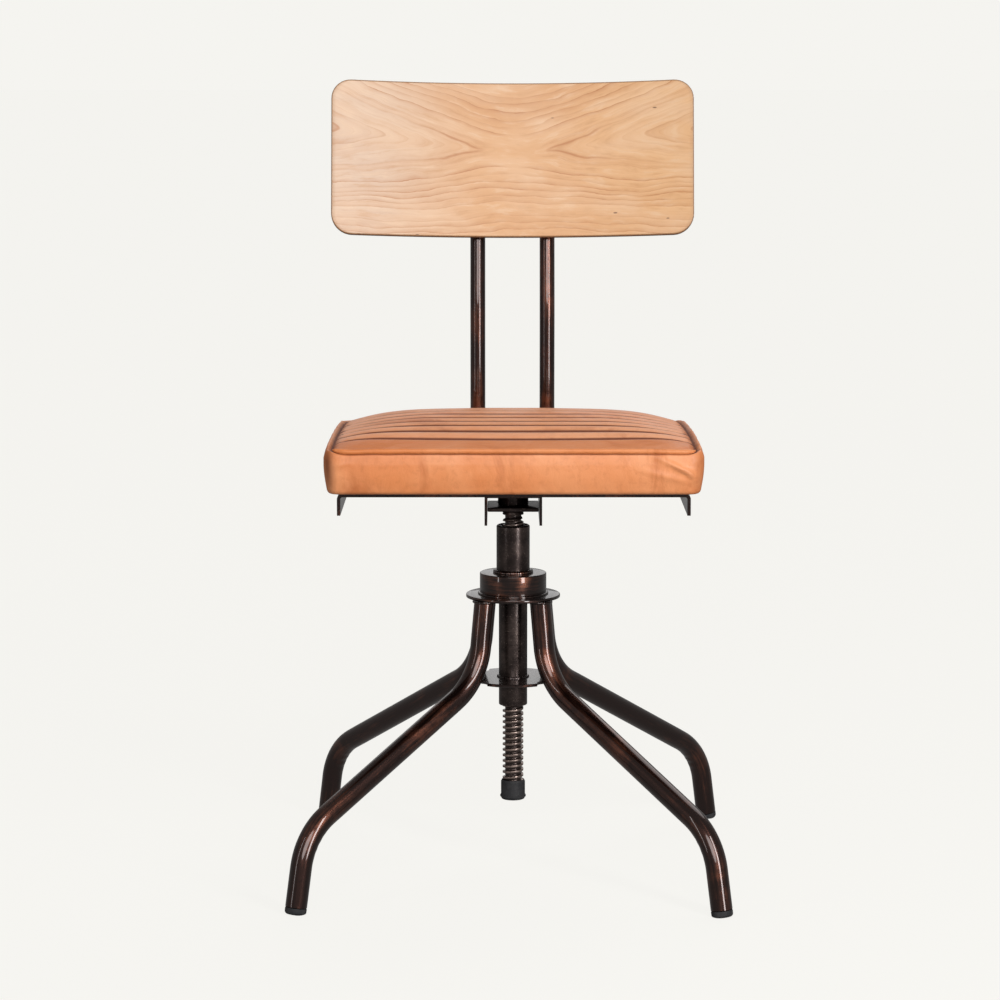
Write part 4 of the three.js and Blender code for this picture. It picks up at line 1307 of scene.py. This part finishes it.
def make_cushion():
    points, faces, top_count, rim = cover_shell(136, 250, 12, 34)
    points = points + carried(points, *simulated_swell())
    drop, channel_shade_and_sheen = channelled(points[:top_count])
    seam = tree_of(points[rim])
    to_seam = np.array([seam.find(point)[2] for point in points])
    on_top = np.arange(len(points)) < top_count
    side = np.clip(np.abs(points[:, 0]) / CUSHION.half_width, 0, 1) ** 8
    points[:top_count, 2] += drop * np.clip(to_seam[:top_count] / 0.009, 0, 1)
    # The seam is drawn down, and puckers beside it, more on the sides than at the front.
    points[:, 2] -= (0.0014 + 0.0020 * side) * bell(to_seam, 0, 0.0030)
    pucker = np.array([noise.noise((p[0] * 60, p[1] * 85, p[2] * 30)) for p in points])
    points[:, 2] += 0.0015 * pucker * bell(to_seam, 0, 0.011) * (0.25 + side)
    crease = np.zeros(len(points))
    crease[:top_count] = channel_shade_and_sheen * (0.6 + 0.4 * np.clip(to_seam[:top_count] / 0.012, 0, 1))
    # The seams' dirt and painted shade and the corners' painted shade join the channels' painted shade and
    # sheen in one mark.
    dirt_and_shade = dirt_and_shade_on(points, to_seam, side, on_top)
    crease = np.where(dirt_and_shade > 0.02, np.maximum(crease, dirt_and_shade), crease)
    plain = points[:, 1] < channel_lines()[0] - 0.001
    band = np.where(on_top & plain, 1.0, 0.0)
    points += wrinkles(points, top_count)
    points[:, 1] += CUSHION.middle
    shell = Shell()
    shell.add(points, faces)
    cover = shell.build("seat_cushion", sharp=180, attributes={"crease": crease, "band": band})
    fit(cover, "leather", "seat", "seat_cover", "seat_foam")
    make_welt(points[rim])


WRINKLES = [  # middle (x, z), direction in degrees, half length, width, height
    (0.160, 0.4510, -24, 0.020, 0.0028, 0.0019),
    (0.170, 0.4455, -30, 0.019, 0.0026, 0.0017),
    (0.150, 0.4405, -14, 0.024, 0.0034, 0.0012),
    (0.178, 0.4380, -52, 0.014, 0.0026, 0.0014),
    (-0.172, 0.4520, 12, 0.010, 0.0022, 0.0008),
    (-0.176, 0.4440, 64, 0.012, 0.0026, 0.0007),
    (-0.060, 0.4440, 80, 0.012, 0.0060, 0.0005),
    (0.012, 0.4350, 86, 0.016, 0.0080, 0.0005),
]


def wrinkles(points, top_count):
    """Shallow folds in the front boxing, raised along -Y."""
    moved = np.zeros_like(points)
    front = np.clip((-points[:, 1] - CUSHION.half_depth + 0.030) / 0.026, 0, 1)
    front[:top_count] = 0
    for x, z, turn, half_length, width, height in WRINKLES:
        dx, dz = points[:, 0] - x, points[:, 2] - z
        along = dx * cos(radians(turn)) + dz * sin(radians(turn))
        across = -dx * sin(radians(turn)) + dz * cos(radians(turn))
        fold = np.exp(-(along / half_length) ** 2 - (across / width) ** 2)
        moved[:, 1] -= height * fold * front
    return moved


def make_welt(line):
    """A covered cord sewn along the front edge, fading into the corners."""
    front = line[line[:, 1] < CUSHION.middle - CUSHION.half_depth + 0.012]
    front = front[np.argsort(front[:, 0])]
    share, window, radius = np.linspace(0, 1, 180), 9, 0.0027
    reach = run_lengths(front)
    path = np.stack([np.interp(share * reach[-1], reach, front[:, k]) for k in range(3)], -1)
    for k in range(3):
        path[window // 2:-(window // 2), k] = np.convolve(path[:, k], np.ones(window) / window, "valid")
    path += (0, 0.0002, 0.0022)
    angles, up = full_turn(16), np.array([0, 0, 1.0])
    out = unit(np.cross(unit(np.gradient(path, axis=0)), up))
    size = radius * np.clip(np.minimum(share, 1 - share) / 0.03, 0.15, 1) ** 0.5
    rings = path[:, None] + size[:, None, None] * (
        np.cos(angles)[:, None] * out[:, None] + np.sin(angles)[:, None] * up)
    shell = Shell()
    shell.add_grid(rings, wrap_columns=True, fans=(0, -1))
    count = len(shell.points[0])
    looks = {"crease": np.zeros(count), "band": np.full(count, 0.5)}
    fit(shell.build("seat_welt", sharp=180, attributes=looks), "leather", "seat")


# ------------------------------------------------------------------ stage


TONE = (0.897, 0.889, 0.855)  # of the floor and of what is behind it


def make_floor():
    """A pale floor that is nearly as bright in shade as in the light."""
    size = 60.0
    mesh = bpy.data.meshes.new("floor")
    corners = [(-size, -size, 0), (size, -size, 0), (size, size, 0), (-size, size, 0)]
    mesh.from_pydata(corners, [], [(0, 1, 2, 3)])
    floor = placed("floor", mesh)
    look = Look("floor_paint", Specular_IOR_Level=0.0, Emission_Color=TONE, Emission_Strength=0.954)
    mesh.materials.append(look.finished(tuple(0.10 * tone for tone in TONE), 0.9))
    floor.visible_glossy = False
    floor.visible_diffuse = False
    floor.location.z = -0.0002


def make_world():
    """The floor's tone behind the object, and a dimmer studio in its reflections."""
    world = bpy.data.worlds.new("studio")
    bpy.context.scene.world = world
    world.use_nodes = True
    nodes, links = world.node_tree.nodes, world.node_tree.links
    nodes.clear()
    output, mix, path = (nodes.new("ShaderNode" + kind) for kind in ("OutputWorld", "MixShader", "LightPath"))
    links.new(path.outputs["Is Camera Ray"], mix.inputs[0])
    for number, colour, strength in ((1, (1.0, 0.985, 0.965), 0.20), (2, TONE, 1.018)):
        background = nodes.new("ShaderNodeBackground")
        background.inputs["Color"].default_value = (*colour, 1)
        background.inputs["Strength"].default_value = strength
        links.new(background.outputs[0], mix.inputs[number])
    links.new(mix.outputs[0], output.inputs[0])


# name, azimuth from the front (positive to the right), distance, width, lowest and highest point, watts
SOFTBOXES = (
    ("right_box", 34, 2.6, 0.50, 0.04, 2.7, 50.0),
    ("left_box", -52, 2.8, 0.16, 0.04, 2.4, 7.0),
)
# name, azimuth, elevation, strength, width in degrees
SUNS = (("front_sun", 0, 27, 1.17, 34), ("top_sun", 160, 50, 0.62, 45),
        ("rear_sun", 184, 24, 0.16, 36))


def make_lamp(name, kind, toward, **settings):
    data = bpy.data.lights.new(name, kind)
    for key, value in settings.items():
        setattr(data, key, value)
    lamp = placed(name, data)
    lamp.rotation_mode = "QUATERNION"
    lamp.rotation_quaternion = toward.to_track_quat("Z", "Y")
    return lamp


def make_lights():
    """Tall strip softboxes on the floor draw long streaks on the tubes; broad soft suns light the rest."""
    for name, azimuth, distance, width, low_end, high_end, watts in SOFTBOXES:
        toward = Vector((sin(radians(azimuth)), -cos(radians(azimuth)), 0))
        lamp = make_lamp(name, "AREA", toward, shape="RECTANGLE", size=width, size_y=high_end - low_end,
                         energy=watts)
        lamp.location = toward * distance + Vector((0, AXIS_Y, (low_end + high_end) / 2))
    for name, azimuth, elevation, strength, width in SUNS:
        a, e = radians(azimuth), radians(elevation)
        toward = Vector((sin(a) * cos(e), -cos(a) * cos(e), sin(e)))
        make_lamp(name, "SUN", toward, energy=strength, angle=radians(width))


def make_stage():
    make_floor()
    make_world()
    make_lights()
    bpy.context.scene.view_settings.view_transform = "Standard"


# ------------------------------------------------------------------ assembly

make_legs()
make_discs()
make_column()
make_spindle()
make_end_cap()
make_seat_frame()
make_uprights()
make_backrest()
make_cushion()
make_stage()

for node, slot in (("lift_nut", "bronze"), ("seat_board", "board_plywood")):
    for material_slot in frame["nodes"][node].material_slots:
        material_slot.material = LOOKS[slot]
